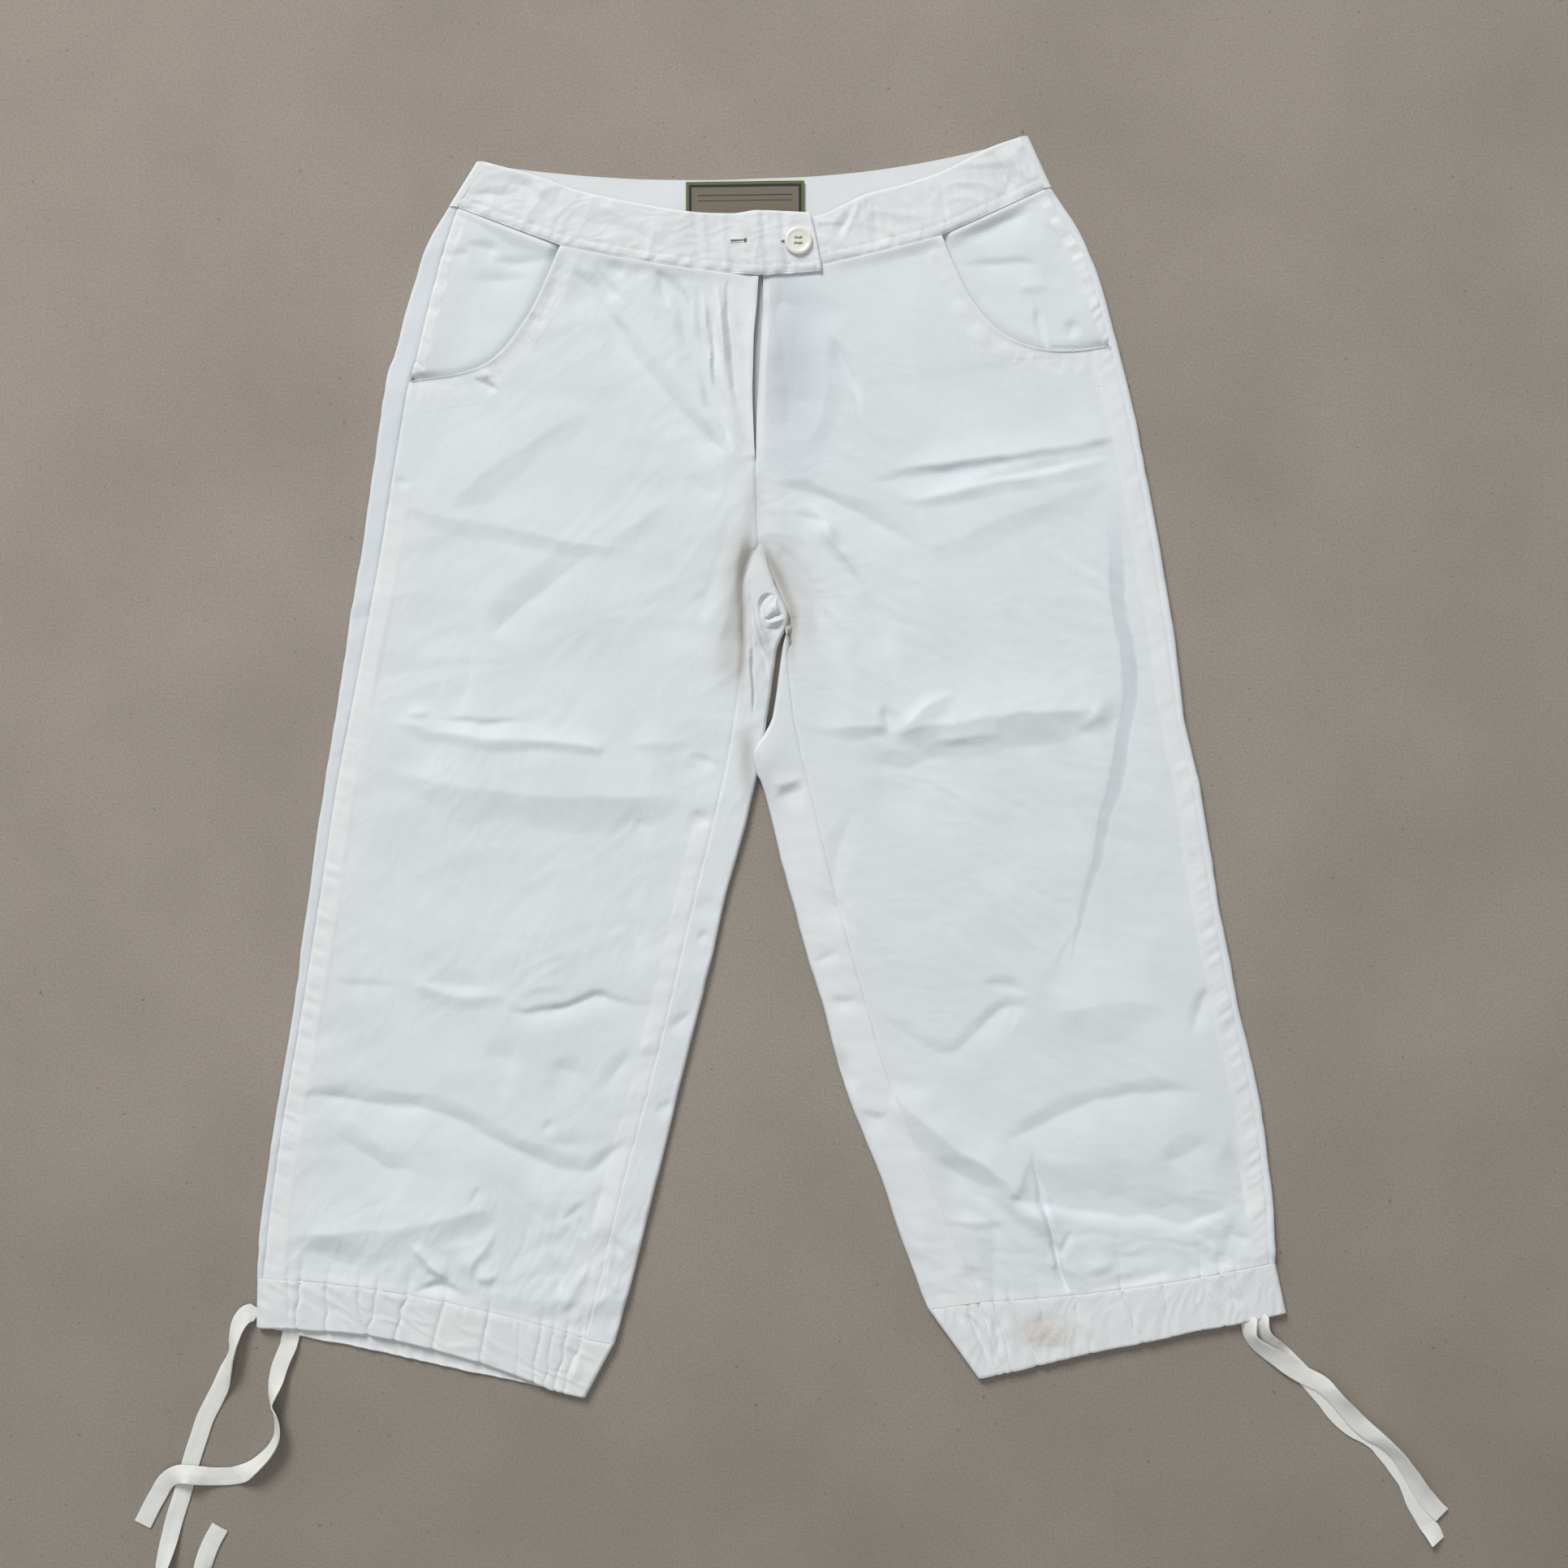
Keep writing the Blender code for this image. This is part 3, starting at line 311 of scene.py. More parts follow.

# The stripe of painted shade down the right leg, and half its width.
STRIPE = ((234, 192), (235, 137), (239, 98), (244, 81), (245, 53), (241, 25), (237, 0), (230, -27),
    (223, -58), (213, -91), (208, -113), (202, -136))
STRIPE_HALF = 4.8
TURNED = 1.8            # cloth that runs on under the band and the casings

LEFT_FACING_CREASES = crease_table(
    (-1.4, 3, 3, (-212, 359), (-195, 356), (-184, 353)),
    (-1, 3, 3, (-222, 350), (-206, 352)),
    (-1.6, 3, 3, (-195, 349), (-179, 345), (-167, 346), (-151, 349)),
    (-1.2, 5, 6, (-209, 335), (-190, 334), (-156, 335)),
)
RIGHT_FACING_CREASES = crease_table(
    (-2, 6, 4, (112, 360), (144, 369), (166, 377), (180, 381)),
    (-1.6, 3, 4, (123, 343), (149, 345), (171, 346), (184, 345)),
    (1.1, 3, 4, (168, 326), (176, 330), (191, 330)),
    (-3, 2, 2.6, (179, 322), (184, 303), (190, 284)),
    (-2, 4, 4, (177, 375), (194, 364), (207, 353), (216, 331), (219, 318)),
    (-1.5, 3, 4, (207, 308), (203, 292)),
)

Leg = namedtuple("Leg", "side rows pocket centre facing bows hem_row hem_front hem_back "
                        "creases facing_creases gathers seed")

# A gather of a hem casing: how far it lies from the outer fold at the stitch
# line and at the hem, its depth and its width.
Gather = namedtuple("Gather", "top hem depth width")

LEFT_GATHERS = [Gather(*row) for row in (
    (22, 23, 0.8, 1.6), (30, 28, 2.4, 2), (49, 49, 1.9, 2), (70, 76, 1.6, 2.2), (84, 78, 1.7, 2),
    (104, 97, 2.1, 2.2), (131, 123, 1.6, 2.4), (162, 156, 1.9, 2.2), (183, 182, 0.8, 1.6),
    (198, 193, 1.7, 2), (206, 202, 1.3, 1.6), (216, 209, 1.7, 2), (226, 214, 1.3, 1.8),
)]
RIGHT_GATHERS = [Gather(*row) for row in (
    (28, 24, 0.9, 1.8), (38, 30, 1.7, 2.2), (52, 44, 2.1, 2.4), (60, 58, 0.8, 1.6), (79, 80, 0.9, 1.8),
    (107, 101, 1.9, 2), (140, 136, 1.3, 2), (165, 160, 1.1, 2.4), (183, 174, 2.3, 2.4), (194, 191, 1.9, 2),
    (206, 198, 2.2, 2.2), (214, 204, 1.6, 1.8),
)]

LEFT = Leg(1, LEFT_ROWS, LEFT_POCKET, LEFT_CENTRE, LEFT_FACING, Bows(2.0, 9.0, -7.4, -2.0),
    Row(-349, -384, 4.0, -128, -431, 23, 1), -11.5, 0.0, LEFT_CREASES, LEFT_FACING_CREASES,
    LEFT_GATHERS, 11)
RIGHT = Leg(-1, RIGHT_ROWS, RIGHT_POCKET, RIGHT_CENTRE, RIGHT_FACING, Bows(1.0, 9.0, 4.0, 0.0),
    Row(348, -374, 4.0, 141, -418, 25, 1), -1.0, 0.0, RIGHT_CREASES, RIGHT_FACING_CREASES,
    RIGHT_GATHERS, 12)

LEGS = (("left", LEFT), ("right", RIGHT))

# Top edges of the waistband from the side seam to the free end, and the
# lower edge of the tab that carries the button.
LEFT_BAND_TOP = ((-196, 414), (-159, 404), (-134, 395), (-98, 387), (-59, 380.5), (-26, 379),
    (-9, 380.5), (26, 379))
RIGHT_BAND_TOP = ((169, 431), (149, 424), (119, 409), (91, 399), (64, 392), (47, 384), (29, 377),
    (-5, 377))
TAB_LOWER = ((8, 337), (34, 339))
TAB_RAMP = (-32.0, -10.0)
BACK_BAND_ENDS = (Row(-196, 414, 6.5, -8, 404, 0, 0), Row(169, 431, 6.5, -8, 404, 0, 0))
BACK_BAND_BOWS = (5.0, 6.5)

LEFT_BAND_CREASES = crease_table(
    (-1, 3, 4, (-209, 392), (-184, 392), (-170, 396)),
    (-1.1, 4, 4, (-184, 392), (-178, 399), (-168, 398), (-158, 388), (-150, 376)),
    (0.8, 4, 4, (-166, 403), (-160, 395), (-158, 386)),
    (-0.8, 5, 5, (-143, 380), (-120, 372), (-100, 370)),
    (-0.8, 4, 4, (-106, 372), (-92, 366), (-80, 358), (-70, 356)),
    (0.7, 4, 4, (-120, 388), (-110, 380), (-98, 376)),
)
RIGHT_BAND_CREASES = crease_table(
    (-1.3, 3, 3, (56, 386), (49, 372), (43, 360)),
    (0.9, 2.5, 2.5, (60, 388), (54, 374), (48, 358)),
    (-1, 2.5, 3, (68, 388), (71, 372), (75, 355)),
    (-1, 2, 3, (115, 400), (117, 384), (120, 367)),
    (-1.3, 3, 3, (147, 422), (155, 410), (163, 400), (172, 392)),
    (1, 3, 3, (156, 425), (166, 410), (176, 398)),
    (-1, 3, 3, (160, 404), (161, 392), (166, 386)),
)

LABEL_CORNERS = ((-59, 401), (22, 402), (22, 368), (-59, 367))
UNDERLAP_EDGES = ((-24, 341), (13, 341), (4, 203), (-22, 203))

BUTTON_CENTRE = (18.0, 359.0)
BUTTON_THICK = 2.6
BUTTON_FLOOR = BAND_PILE + TAB_LIFT + GAP
BUTTON_DISH = 0.6       # how deep the dish lies under the rim
BUTTON_HOLE = 1.9       # across and up from the middle to each hole
BUTTON_SIDES = 96

# A keyhole buttonhole: its slit from left to right, its height on the tab, and
# the half length and half width of the eye at its end.
Buttonhole = namedtuple("Buttonhole", "left right y eye")
BUTTONHOLES = (Buttonhole(-28.5, -19.0, 359.7, (1.2, 1.5)), Buttonhole(6.0, 7.2, 358.8, (0.9, 1.2)))
HOLE_SIDES = 24

# ---- drawstring routes

# The tape's middle, its roll in degrees off lying flat, and the height of
# its lower edge, from its hole in the casing to its cut end.
Lie = namedtuple("Lie", "x y roll lift")

LEFT_LONG_TAPE = [Lie(*row) for row in (
    (-349.5, -372.5, 0, 2.2), (-355.2, -373, 0, 1.8), (-360.5, -374.5, 15, 0.9), (-365, -380, 25, 0.2),
    (-368, -389, 40, 0), (-370, -401, 58, 0), (-374, -413, 35, 0), (-378, -424, 10, 0), (-383, -434, 0, 0),
    (-389, -446, 0, 0), (-393, -458, 0, 0), (-397, -470, 0, 0), (-401, -484, 0, 0), (-405, -499, 0, 0),
    (-410, -515, 0, 0), (-414, -531, 10, 0), (-418, -547, 35, 0), (-420, -559, 60, 0), (-417, -569, 75, 0),
    (-409, -576, 80, 0), (-400, -575, 80, 0), (-394, -566, 75, 0), (-391, -554, 50, 0),
    (-389, -543, 15, 0), (-385, -532, 0, 0), (-379, -521, 0, 0),
)]
LEFT_SHORT_TAPE = [Lie(*row) for row in (
    (-328, -379, 0, 2.2), (-329, -384, 0, 1.8), (-330.5, -391, 0, 0.9), (-332, -397, 10, 0),
    (-335, -404, 15, 0), (-338, -412, 15, 0), (-340, -420, 25, 0), (-342, -428, 50, 0),
    (-342.5, -435, 70, 0), (-340, -442, 65, 0), (-338.5, -450, 60, 0), (-339, -458, 60, 0),
    (-343, -466, 60, 0), (-349, -473, 55, 0), (-356, -479, 45, 0), (-362, -483, 22, 0),
    (-369, -485.5, 0, 0), (-377, -486, 0, 0.3), (-385, -485.5, 5, 1.2), (-392, -484, 22, 2),
    (-399, -482.5, 38, 2.6), (-406, -483, 20, 2.4), (-412, -486, 5, 1.9), (-417, -491, 0, 0.9),
    (-421, -498, 0, 0), (-425, -505, 0, 0), (-428.5, -512, 0, 0), (-432, -519, 0, 0),
)]
RIGHT_UPPER_TAPE = [Lie(*row) for row in (
    (326, -372, 22, 1.5), (326, -382, 48, 0.4), (327, -389, 55, 0), (332, -395, 45, 0.3),
    (340, -400.5, 30, 1), (347, -405, 15, 1.6), (354, -410, 5, 1.8), (361, -414.5, 0, 1.6),
    (369, -418.5, 0, 1.5), (376, -422, 10, 1.5), (382, -427.5, 30, 1.4), (388, -434, 35, 1.4),
    (395, -441.5, 22, 1.4), (402, -449, 12, 1.5), (409, -455, 18, 1.6), (416, -460, 38, 1.6),
    (422, -465, 48, 1.6), (428, -471, 50, 1.6), (433, -478, 45, 1.6), (438, -485, 38, 1.6),
    (443, -493, 28, 1.4), (449, -501, 12, 1.3), (454, -507, 4, 1.3), (459, -512, 0, 1.3),
)]
RIGHT_LOWER_TAPE = [Lie(*row) for row in (
    (333.5, -371, 22, 1.5), (334.5, -381, 48, 0.4), (337, -388, 50, 0), (342, -394, 35, 0),
    (347, -399, 12, 0), (352, -404, 0, 0), (359, -411, 0, 0), (367, -419, 0, 0), (374, -427, 0, 0),
    (380, -434, 0, 0), (386, -442, 0, 0), (393, -449, 0, 0), (400, -454, 0, 0), (408, -458, 0, 0),
    (415, -463, 0, 0), (420, -469, 0, 0), (425, -475, 0, 0), (430, -482, 0, 0), (435, -489, 0, 0),
    (438, -496, 0, 0), (441, -504, 0, 0), (445, -511, 0, 0), (449, -518, 0, 0), (453, -524, -10, 0),
    (456, -530, -25, 0),
)]
TAPE_WIDTH = 12.0
TAPE_THICK = 0.9
TAPE_STEP = 1.15        # from one row of the tape's points to the next
TAPE_BUNCH = 0.38       # share of its width where it comes out of the casing

# ---- materials


def linear(hex_color):
    """Linear red, green, blue of an sRGB hex colour."""
    parts = [int(hex_color[k:k + 2], 16) / 255.0 for k in (0, 2, 4)]
    return tuple(p / 12.92 if p <= 0.04045 else ((p + 0.055) / 1.055) ** 2.4 for p in parts)


class PantsSettings(bpy.types.PropertyGroup):
    """Sizes and colours that a user would change."""

    cotton_color: bpy.props.FloatVectorProperty(
        name="Cotton", description="Colour of a single layer of the cloth",
        subtype="COLOR", size=3, min=0.0, max=1.0, default=linear("e1e6e9"))
    layered_color: bpy.props.FloatVectorProperty(
        name="Layered Cotton", description="Colour where seam allowances lie under the cloth",
        subtype="COLOR", size=3, min=0.0, max=1.0, default=linear("e9ebea"))
    tape_color: bpy.props.FloatVectorProperty(
        name="Tape", description="Colour of the drawstring tape",
        subtype="COLOR", size=3, min=0.0, max=1.0, default=linear("e9e9e4"))
    floor_color: bpy.props.FloatVectorProperty(
        name="Floor", description="Colour of the floor",
        subtype="COLOR", size=3, min=0.0, max=1.0, default=linear("9f968b"))
    crease_depth: bpy.props.FloatProperty(
        name="Crease Depth", description="Multiplies the height of every crease",
        min=0.0, max=2.0, default=1.0, subtype="FACTOR")
    stitch_length: bpy.props.FloatProperty(
        name="Stitch Length", description="Length of one topstitch",
        min=0.0015, max=0.005, default=0.0024, unit="LENGTH", precision=4)


def settings():
    """The settings of this scene."""
    return bpy.context.scene.capri_pants


def fill(made, inputs):
    """Set or link a node's inputs.  A node stands for its first output, and a
    colour needs no alpha."""
    for socket, value in inputs.items():
        if isinstance(value, bpy.types.Node):
            value = value.outputs[0]
        if isinstance(value, bpy.types.NodeSocket):
            made.id_data.links.new(value, made.inputs[socket])
        elif made.inputs[socket].type == "RGBA":
            made.inputs[socket].default_value = (*value, 1.0)
        else:
            made.inputs[socket].default_value = value


def node(tree, kind, inputs=None, **properties):
    """Add one shader node, set its properties, and fill its inputs."""
    made = tree.nodes.new("ShaderNode" + kind)
    for name, value in properties.items():
        setattr(made, name, value)
    fill(made, inputs or {})
    return made


def new_material(name):
    """A material with only a Principled shader, node() for its tree, and the
    shader itself."""
    material = bpy.data.materials.new(name)
    material.use_nodes = True
    tree = material.node_tree
    return material, partial(node, tree), tree.nodes["Principled BSDF"]


THREAD_PITCH = 0.0008   # metres from thread to thread, drawn a little coarser than real
CLOUD_SIZE = 0.055      # metres across a cloud of the uneven white
RIB_PITCH = 0.0013      # metres from rib to rib of the tape's herringbone
RIB_TURN = 0.003        # metres from one turn of the herringbone to the next
LABEL_SIZE = (0.081, 0.034)     # metres across and up the label
LABEL_PITCH = 0.0007    # metres from thread to thread of the label, coarser than real


def woven_cotton(name, color, layered, stain=None):
    """Plain-woven washed cotton, matt and slightly fuzzy.

    The weave breaks up the light with a fine grain, a few slubs run along
    the warp, and cloth over seam allowances turns warmer and lighter.  Where
    the ply mark falls below zero, painted shade turns the cloth blue grey, and
    the shade and soil mark paints warm grey shade, with some soil at the crotch.
    """
    material, add, shader = new_material(name)
    cloth = add("UVMap", uv_map="cloth")
    split = add("SeparateXYZ", {"Vector": cloth})
    waves = []
    for axis in ("X", "Y"):
        turns = add("Math", {0: split.outputs[axis], 1: 2.0 * pi / THREAD_PITCH}, operation="MULTIPLY")
        waves.append(add("Math", {0: turns}, operation="SINE"))
    weave = add("Math", {0: waves[0], 1: waves[1]}, operation="MULTIPLY")
    warp = add("Mapping", {"Vector": cloth, "Scale": (900.0, 60.0, 1.0)})
    slubs = add("TexNoise", {"Vector": warp, "Scale": 1.0, "Detail": 2.0})
    place = add("TexCoord").outputs["Object"]
    grain = add("TexNoise", {"Vector": place, "Scale": 420.0, "Detail": 3.0})
    clouds = add("TexNoise", {"Vector": place, "Scale": 1.0 / CLOUD_SIZE, "Detail": 3.0})
    ply_and_painted_shade = add("Attribute", attribute_name="ply_and_painted_shade").outputs["Fac"]
    thick = add("MapRange", {"Value": ply_and_painted_shade, "From Min": 0.0, "From Max": 1.0})
    # painted shade: where the ply mark is below zero, a blue grey is mixed in for shade in hollows, gaps
    # and the stripe
    thin = add("MapRange", {"Value": ply_and_painted_shade, "From Min": 0.0, "From Max": -1.0})
    cloudy = add("MapRange", {"Value": clouds, "From Min": 0.35, "From Max": 0.7, "To Min": 0.0,
        "To Max": 0.35})
    patchy = add("MapRange", {"Value": clouds, "From Min": 0.2, "From Max": 0.8, "To Min": 0.6,
        "To Max": 1.0})
    # painted shade, with some soil: this mark mixes in a warm grey for shade beside the fork, in the fly's
    # slit and under the crossing leg
    shade_and_soil = add("Attribute", attribute_name="shade_and_soil").outputs["Fac"]
    grey = add("Math", {0: shade_and_soil, 1: patchy}, operation="MULTIPLY")
    tints = [(thick, layered), (thin, linear("c2cbd1")), (cloudy, linear("d6dbdd")),
        (grey, linear("a39d91"))]
    if stain:
        centre, size, tint, strength = stain
        at_stain = add("Mapping", {
            "Vector": place, "Location": tuple(-c / s for c, s in zip(centre, size)),
            "Scale": tuple(1.0 / s for s in size)})
        blot = add("TexGradient", {"Vector": at_stain}, gradient_type="SPHERICAL")
        uneven = add("Math", {0: blot.outputs["Fac"], 1: grain}, operation="MULTIPLY")
        brown = add("Math", {0: uneven, 1: strength}, operation="MULTIPLY")
        tints.append((brown, linear(tint)))
    shade = color
    for amount, tint in tints:
        shade = add("MixRGB", {"Fac": amount, "Color1": shade, "Color2": tint})
    threads = add("Math", {0: weave, 1: 0.22, 2: slubs}, operation="MULTIPLY_ADD")
    height = add("Math", {0: grain, 1: 1.2, 2: threads}, operation="MULTIPLY_ADD")
    bump = add("Bump", {"Height": height, "Strength": 0.4, "Distance": 0.00025})
    fill(shader, {"Base Color": shade, "Normal": bump, "Roughness": 0.92, "Specular IOR Level": 0.25,
        "Sheen Weight": 0.12, "Sheen Roughness": 0.5})
    return material


def herringbone_tape(name, color):
    """Flat woven cotton tape: ribs that turn at the middle in a herringbone."""
    material, add, shader = new_material(name)
    cloth = add("UVMap", uv_map="cloth")
    split = add("SeparateXYZ", {"Vector": cloth})
    off = add("Math", {0: split.outputs["X"], 1: RIB_TURN}, operation="PINGPONG")
    slant = add("Math", {0: split.outputs["Y"], 1: off}, operation="ADD")
    turns = add("Math", {0: slant, 1: 2.0 * pi / RIB_PITCH}, operation="MULTIPLY")
    ribs = add("Math", {0: turns}, operation="SINE")
    place = add("TexCoord").outputs["Object"]
    grain = add("TexNoise", {"Vector": place, "Scale": 700.0, "Detail": 3.0})
    height = add("Math", {0: ribs, 1: 0.4, 2: grain}, operation="MULTIPLY_ADD")
    # painted shade: the tape's colour darkens in the grooves between its ribs, with some random grain
    rib_shade = add("MapRange", {"Value": height, "From Min": -0.2, "From Max": 1.2, "To Min": 0.92,
        "To Max": 1.0})
    shade = add("MixRGB", {"Fac": 1.0, "Color1": color, "Color2": rib_shade}, blend_type="MULTIPLY")
    bump = add("Bump", {"Height": height, "Strength": 0.4, "Distance": 0.0003})
    fill(shader, {"Base Color": shade, "Normal": bump, "Roughness": 0.9, "Specular IOR Level": 0.25})
    return material


def spun_thread(name, color):
    """Spun polyester sewing thread: a soft gleam with the twist running round."""
    material, add, shader = new_material(name)
    place = add("TexCoord").outputs["Object"]
    fibre = add("TexNoise", {"Vector": place, "Scale": 1500.0, "Detail": 2.0})
    shade = add("MixRGB", {"Fac": fibre, "Color1": color, "Color2": [c * 0.86 for c in color]})
    fill(shader, {"Base Color": shade, "Roughness": 0.6, "Sheen Weight": 0.2})
    return material


def pressed_resin(name):
    """Ivory casein-like resin, tumbled to a satin polish, with faint clouds."""
    material, add, shader = new_material(name)
    place = add("TexCoord").outputs["Object"]
    clouds = add("TexNoise", {"Vector": place, "Scale": 260.0, "Detail": 3.0})
    shade = add("MixRGB", {"Fac": clouds, "Color1": linear("f3f1ea"), "Color2": linear("e4e0d4")})
    fill(shader, {"Base Color": shade, "Roughness": 0.28, "IOR": 1.53, "Subsurface Weight": 0.05})
    return material


def woven_label(name):
    """Damask label: olive and dark borders round a beige field of fine threads."""
    material, add, shader = new_material(name)
    cloth = add("UVMap", uv_map="cloth")
    split = add("SeparateXYZ", {"Vector": cloth})
    near = []
    for axis, size in zip(("X", "Y"), LABEL_SIZE):
        far = add("Math", {0: size, 1: split.outputs[axis]}, operation="SUBTRACT")
        near.append(add("Math", {0: split.outputs[axis], 1: far}, operation="MINIMUM"))
    edge = add("Math", {0: near[0], 1: near[1]}, operation="MINIMUM")
    place = add("TexCoord").outputs["Object"]
    grain = add("TexNoise", {"Vector": place, "Scale": 900.0, "Detail": 2.0})
    shade = add("MixRGB", {"Fac": grain, "Color1": linear("7f7666"), "Color2": linear("6d6454")})
    for limit, color in ((0.0038, "2a1c38"), (0.0020, "5f6b35")):
        border = add("Math", {0: edge, 1: limit}, operation="LESS_THAN")
        shade = add("MixRGB", {"Fac": border, "Color1": shade, "Color2": linear(color)})
    inner = add("Math", {0: near[0], 1: 0.008}, operation="GREATER_THAN")
    for middle, half in ((0.0094, 0.0004), (0.0131, 0.0003)):
        level = add("Math", {0: split.outputs["Y"], 1: middle, 2: half}, operation="COMPARE")
        rule = add("Math", {0: level, 1: inner}, operation="MULTIPLY")
        shade = add("MixRGB", {"Fac": rule, "Color1": shade, "Color2": linear("3a3040")})
    turns = add("Math", {0: split.outputs["Y"], 1: 2.0 * pi / LABEL_PITCH}, operation="MULTIPLY")
    ribs = add("Math", {0: turns}, operation="SINE")
    bump = add("Bump", {"Height": ribs, "Strength": 0.5, "Distance": 0.0001})
    fill(shader, {"Base Color": shade, "Normal": bump, "Roughness": 0.75})
    return material


def painted_floor(name, color):
    """Plain matt floor with a fine mineral grain and a few dark specks, and
    painted light falloff: darker towards the hems and a little lighter on the left."""
    material, add, shader = new_material(name)
    place = add("TexCoord").outputs["Object"]
    split = add("SeparateXYZ", {"Vector": place})
    # painted light falloff: the floor darkens towards the hems
    far = add("MapRange", {"Value": split.outputs["Y"], "From Min": -0.56, "From Max": -0.08},
        interpolation_type="SMOOTHSTEP")
    shade = add("MixRGB", {"Fac": far, "Color1": [c * 0.91 for c in color],
        "Color2": [c * 1.06 for c in color]})
    # painted light: the floor is a little lighter on the left, the window's side, than on the right
    side = add("MapRange", {"Value": split.outputs["X"], "From Min": -0.6, "From Max": 0.6,
        "To Min": 1.06, "To Max": 0.99})
    shade = add("MixRGB", {"Fac": 1.0, "Color1": shade, "Color2": side}, blend_type="MULTIPLY")
    for scale, low, high, strength in ((7.0, 0.35, 0.75, 0.18), (620.0, 0.3, 0.7, 0.26),
            (230.0, 0.68, 0.76, 0.45)):
        noise = add("TexNoise", {"Vector": place, "Scale": scale, "Detail": 3.0})
        dark = add("MapRange", {"Value": noise, "From Min": low, "From Max": high, "To Min": 0.0,
            "To Max": strength})
        shade = add("MixRGB", {"Fac": dark, "Color1": shade, "Color2": linear("4a443c")})
    fill(shader, {"Base Color": shade, "Roughness": 0.9})
    return material


# ---- surface tools


def smooth(table, at):
    """Catmull-Rom curve through a table's rows, read at row numbers."""
    rows = np.asarray(table, float)
    padded = np.vstack([2 * rows[0] - rows[1], rows, 2 * rows[-1] - rows[-2]])
    at = np.clip(np.asarray(at, float), 0, len(rows) - 1)
    first = np.minimum(at.astype(int), len(rows) - 2)
    t = (at - first)[:, None]
    a, b, c, d = (padded[first + k] for k in range(4))
    return 0.5 * (2 * b + (c - a) * t + (2 * a - 5 * b + 4 * c - d) * t ** 2
        + (3 * b - a - 3 * c + d) * t ** 3)


def through(points, count):
    """A smooth line of count points through a few points."""
    return smooth(points, np.linspace(0, len(points) - 1, count))


def shares(count):
    """count + 1 even shares from 0 to 1."""
    return np.linspace(0.0, 1.0, count + 1)


def ease(value):
    """S-shaped step from 0 to 1 of a value that runs from 0 to 1."""
    value = np.clip(value, 0.0, 1.0)
    return value * value * (3.0 - 2.0 * value)


def within(distance, width, soft=1.2):
    """1 where a distance is below the width and 0 beyond, over a soft edge."""
    return ease((width - distance) / soft + 0.5)


WIDE, TALL = 97, 89     # points across and up a lattice of random heights


def hills(plan, size, seed):
    """Smooth uneven hills from -1 to 1: random heights on a square lattice of
    the given size, blended between lattice points with an S-shaped ease."""
    lattice = np.random.default_rng(seed).uniform(-1.0, 1.0, (WIDE, TALL))
    at = plan / size + 4000.0
    cell = np.floor(at).astype(int)
    part = ease(at - cell)
    i, j = cell[..., 0] % WIDE, cell[..., 1] % TALL
    k, m = (i + 1) % WIDE, (j + 1) % TALL
    u, v = part[..., 0], part[..., 1]
    low = lattice[i, j] * (1 - u) + lattice[k, j] * u
    high = lattice[i, m] * (1 - u) + lattice[k, m] * u
    return low * (1 - v) + high * v


def wander(plan, across, up, seed):
    """Uneven moves of plan points: hills of one size across, and of one up."""
    return np.stack([hills(plan, across, seed), hills(plan, up, seed + 1)], axis=-1)


def bell(distance, width):
    """Bell curve: exp(-(distance / width) ** 2)."""
    return np.exp(-(distance / width) ** 2)


def ripple(along, pitch, seed):
    """Uneven waves from -1 to 1 along a line: random heights a pitch apart,
    joined with an S-shaped ease."""
    heights = np.random.default_rng(seed).uniform(-1.0, 1.0, 4096)
    at = along / pitch + 1000.0
    cell = np.floor(at).astype(int)
    part = ease(at - cell)
    return heights[cell % 4096] * (1 - part) + heights[(cell + 1) % 4096] * part


CREASE_STEPS = 5        # pieces of a crease's line between two of its points
CREASE_FACE = 1.8       # a crease's faces end this many widths from its line
CREASE_CURVE = 1.25     # 1 is a flat face, 2 a hollow one
CREASE_LEAN = 1.6       # how much longer the side towards the waist is


def beside(plan, line, margin):
    """Places of plan points beside a line.

    Gives which points lie within the margin of the line's box, and for these
    their distance from the line, the slope of the line there to the left of
    which they lie, their share of its run, and its whole run.
    """
    near = np.all((plan > line.min(0) - margin) & (plan < line.max(0) + margin), axis=-1)
    points = plan[near]
    best = np.full(len(points), np.inf)
    side, at, level = (np.zeros(len(points)) for _ in range(3))
    for k, (start, end) in enumerate(zip(line, line[1:])):
        run = end - start
        share = np.clip((points - start) @ run / (run @ run), 0.0, 1.0)
        off = points - start - share[:, None] * run
        distance = np.hypot(off[:, 0], off[:, 1])
        closer = distance < best
        best[closer] = distance[closer]
        side[closer] = np.sign(run[0] * off[:, 1] - run[1] * off[:, 0])[closer]
        level[closer] = run[0] / np.hypot(*run)
        at[closer] = (k + share[closer]) / (len(line) - 1)
    return near, best, side, level, at, np.hypot(*np.diff(line, axis=0).T).sum()


def fine_line(crease):
    """A crease's line, bent smoothly through its points."""
    return through(crease.line, CREASE_STEPS * (len(crease.line) - 1) + 1)


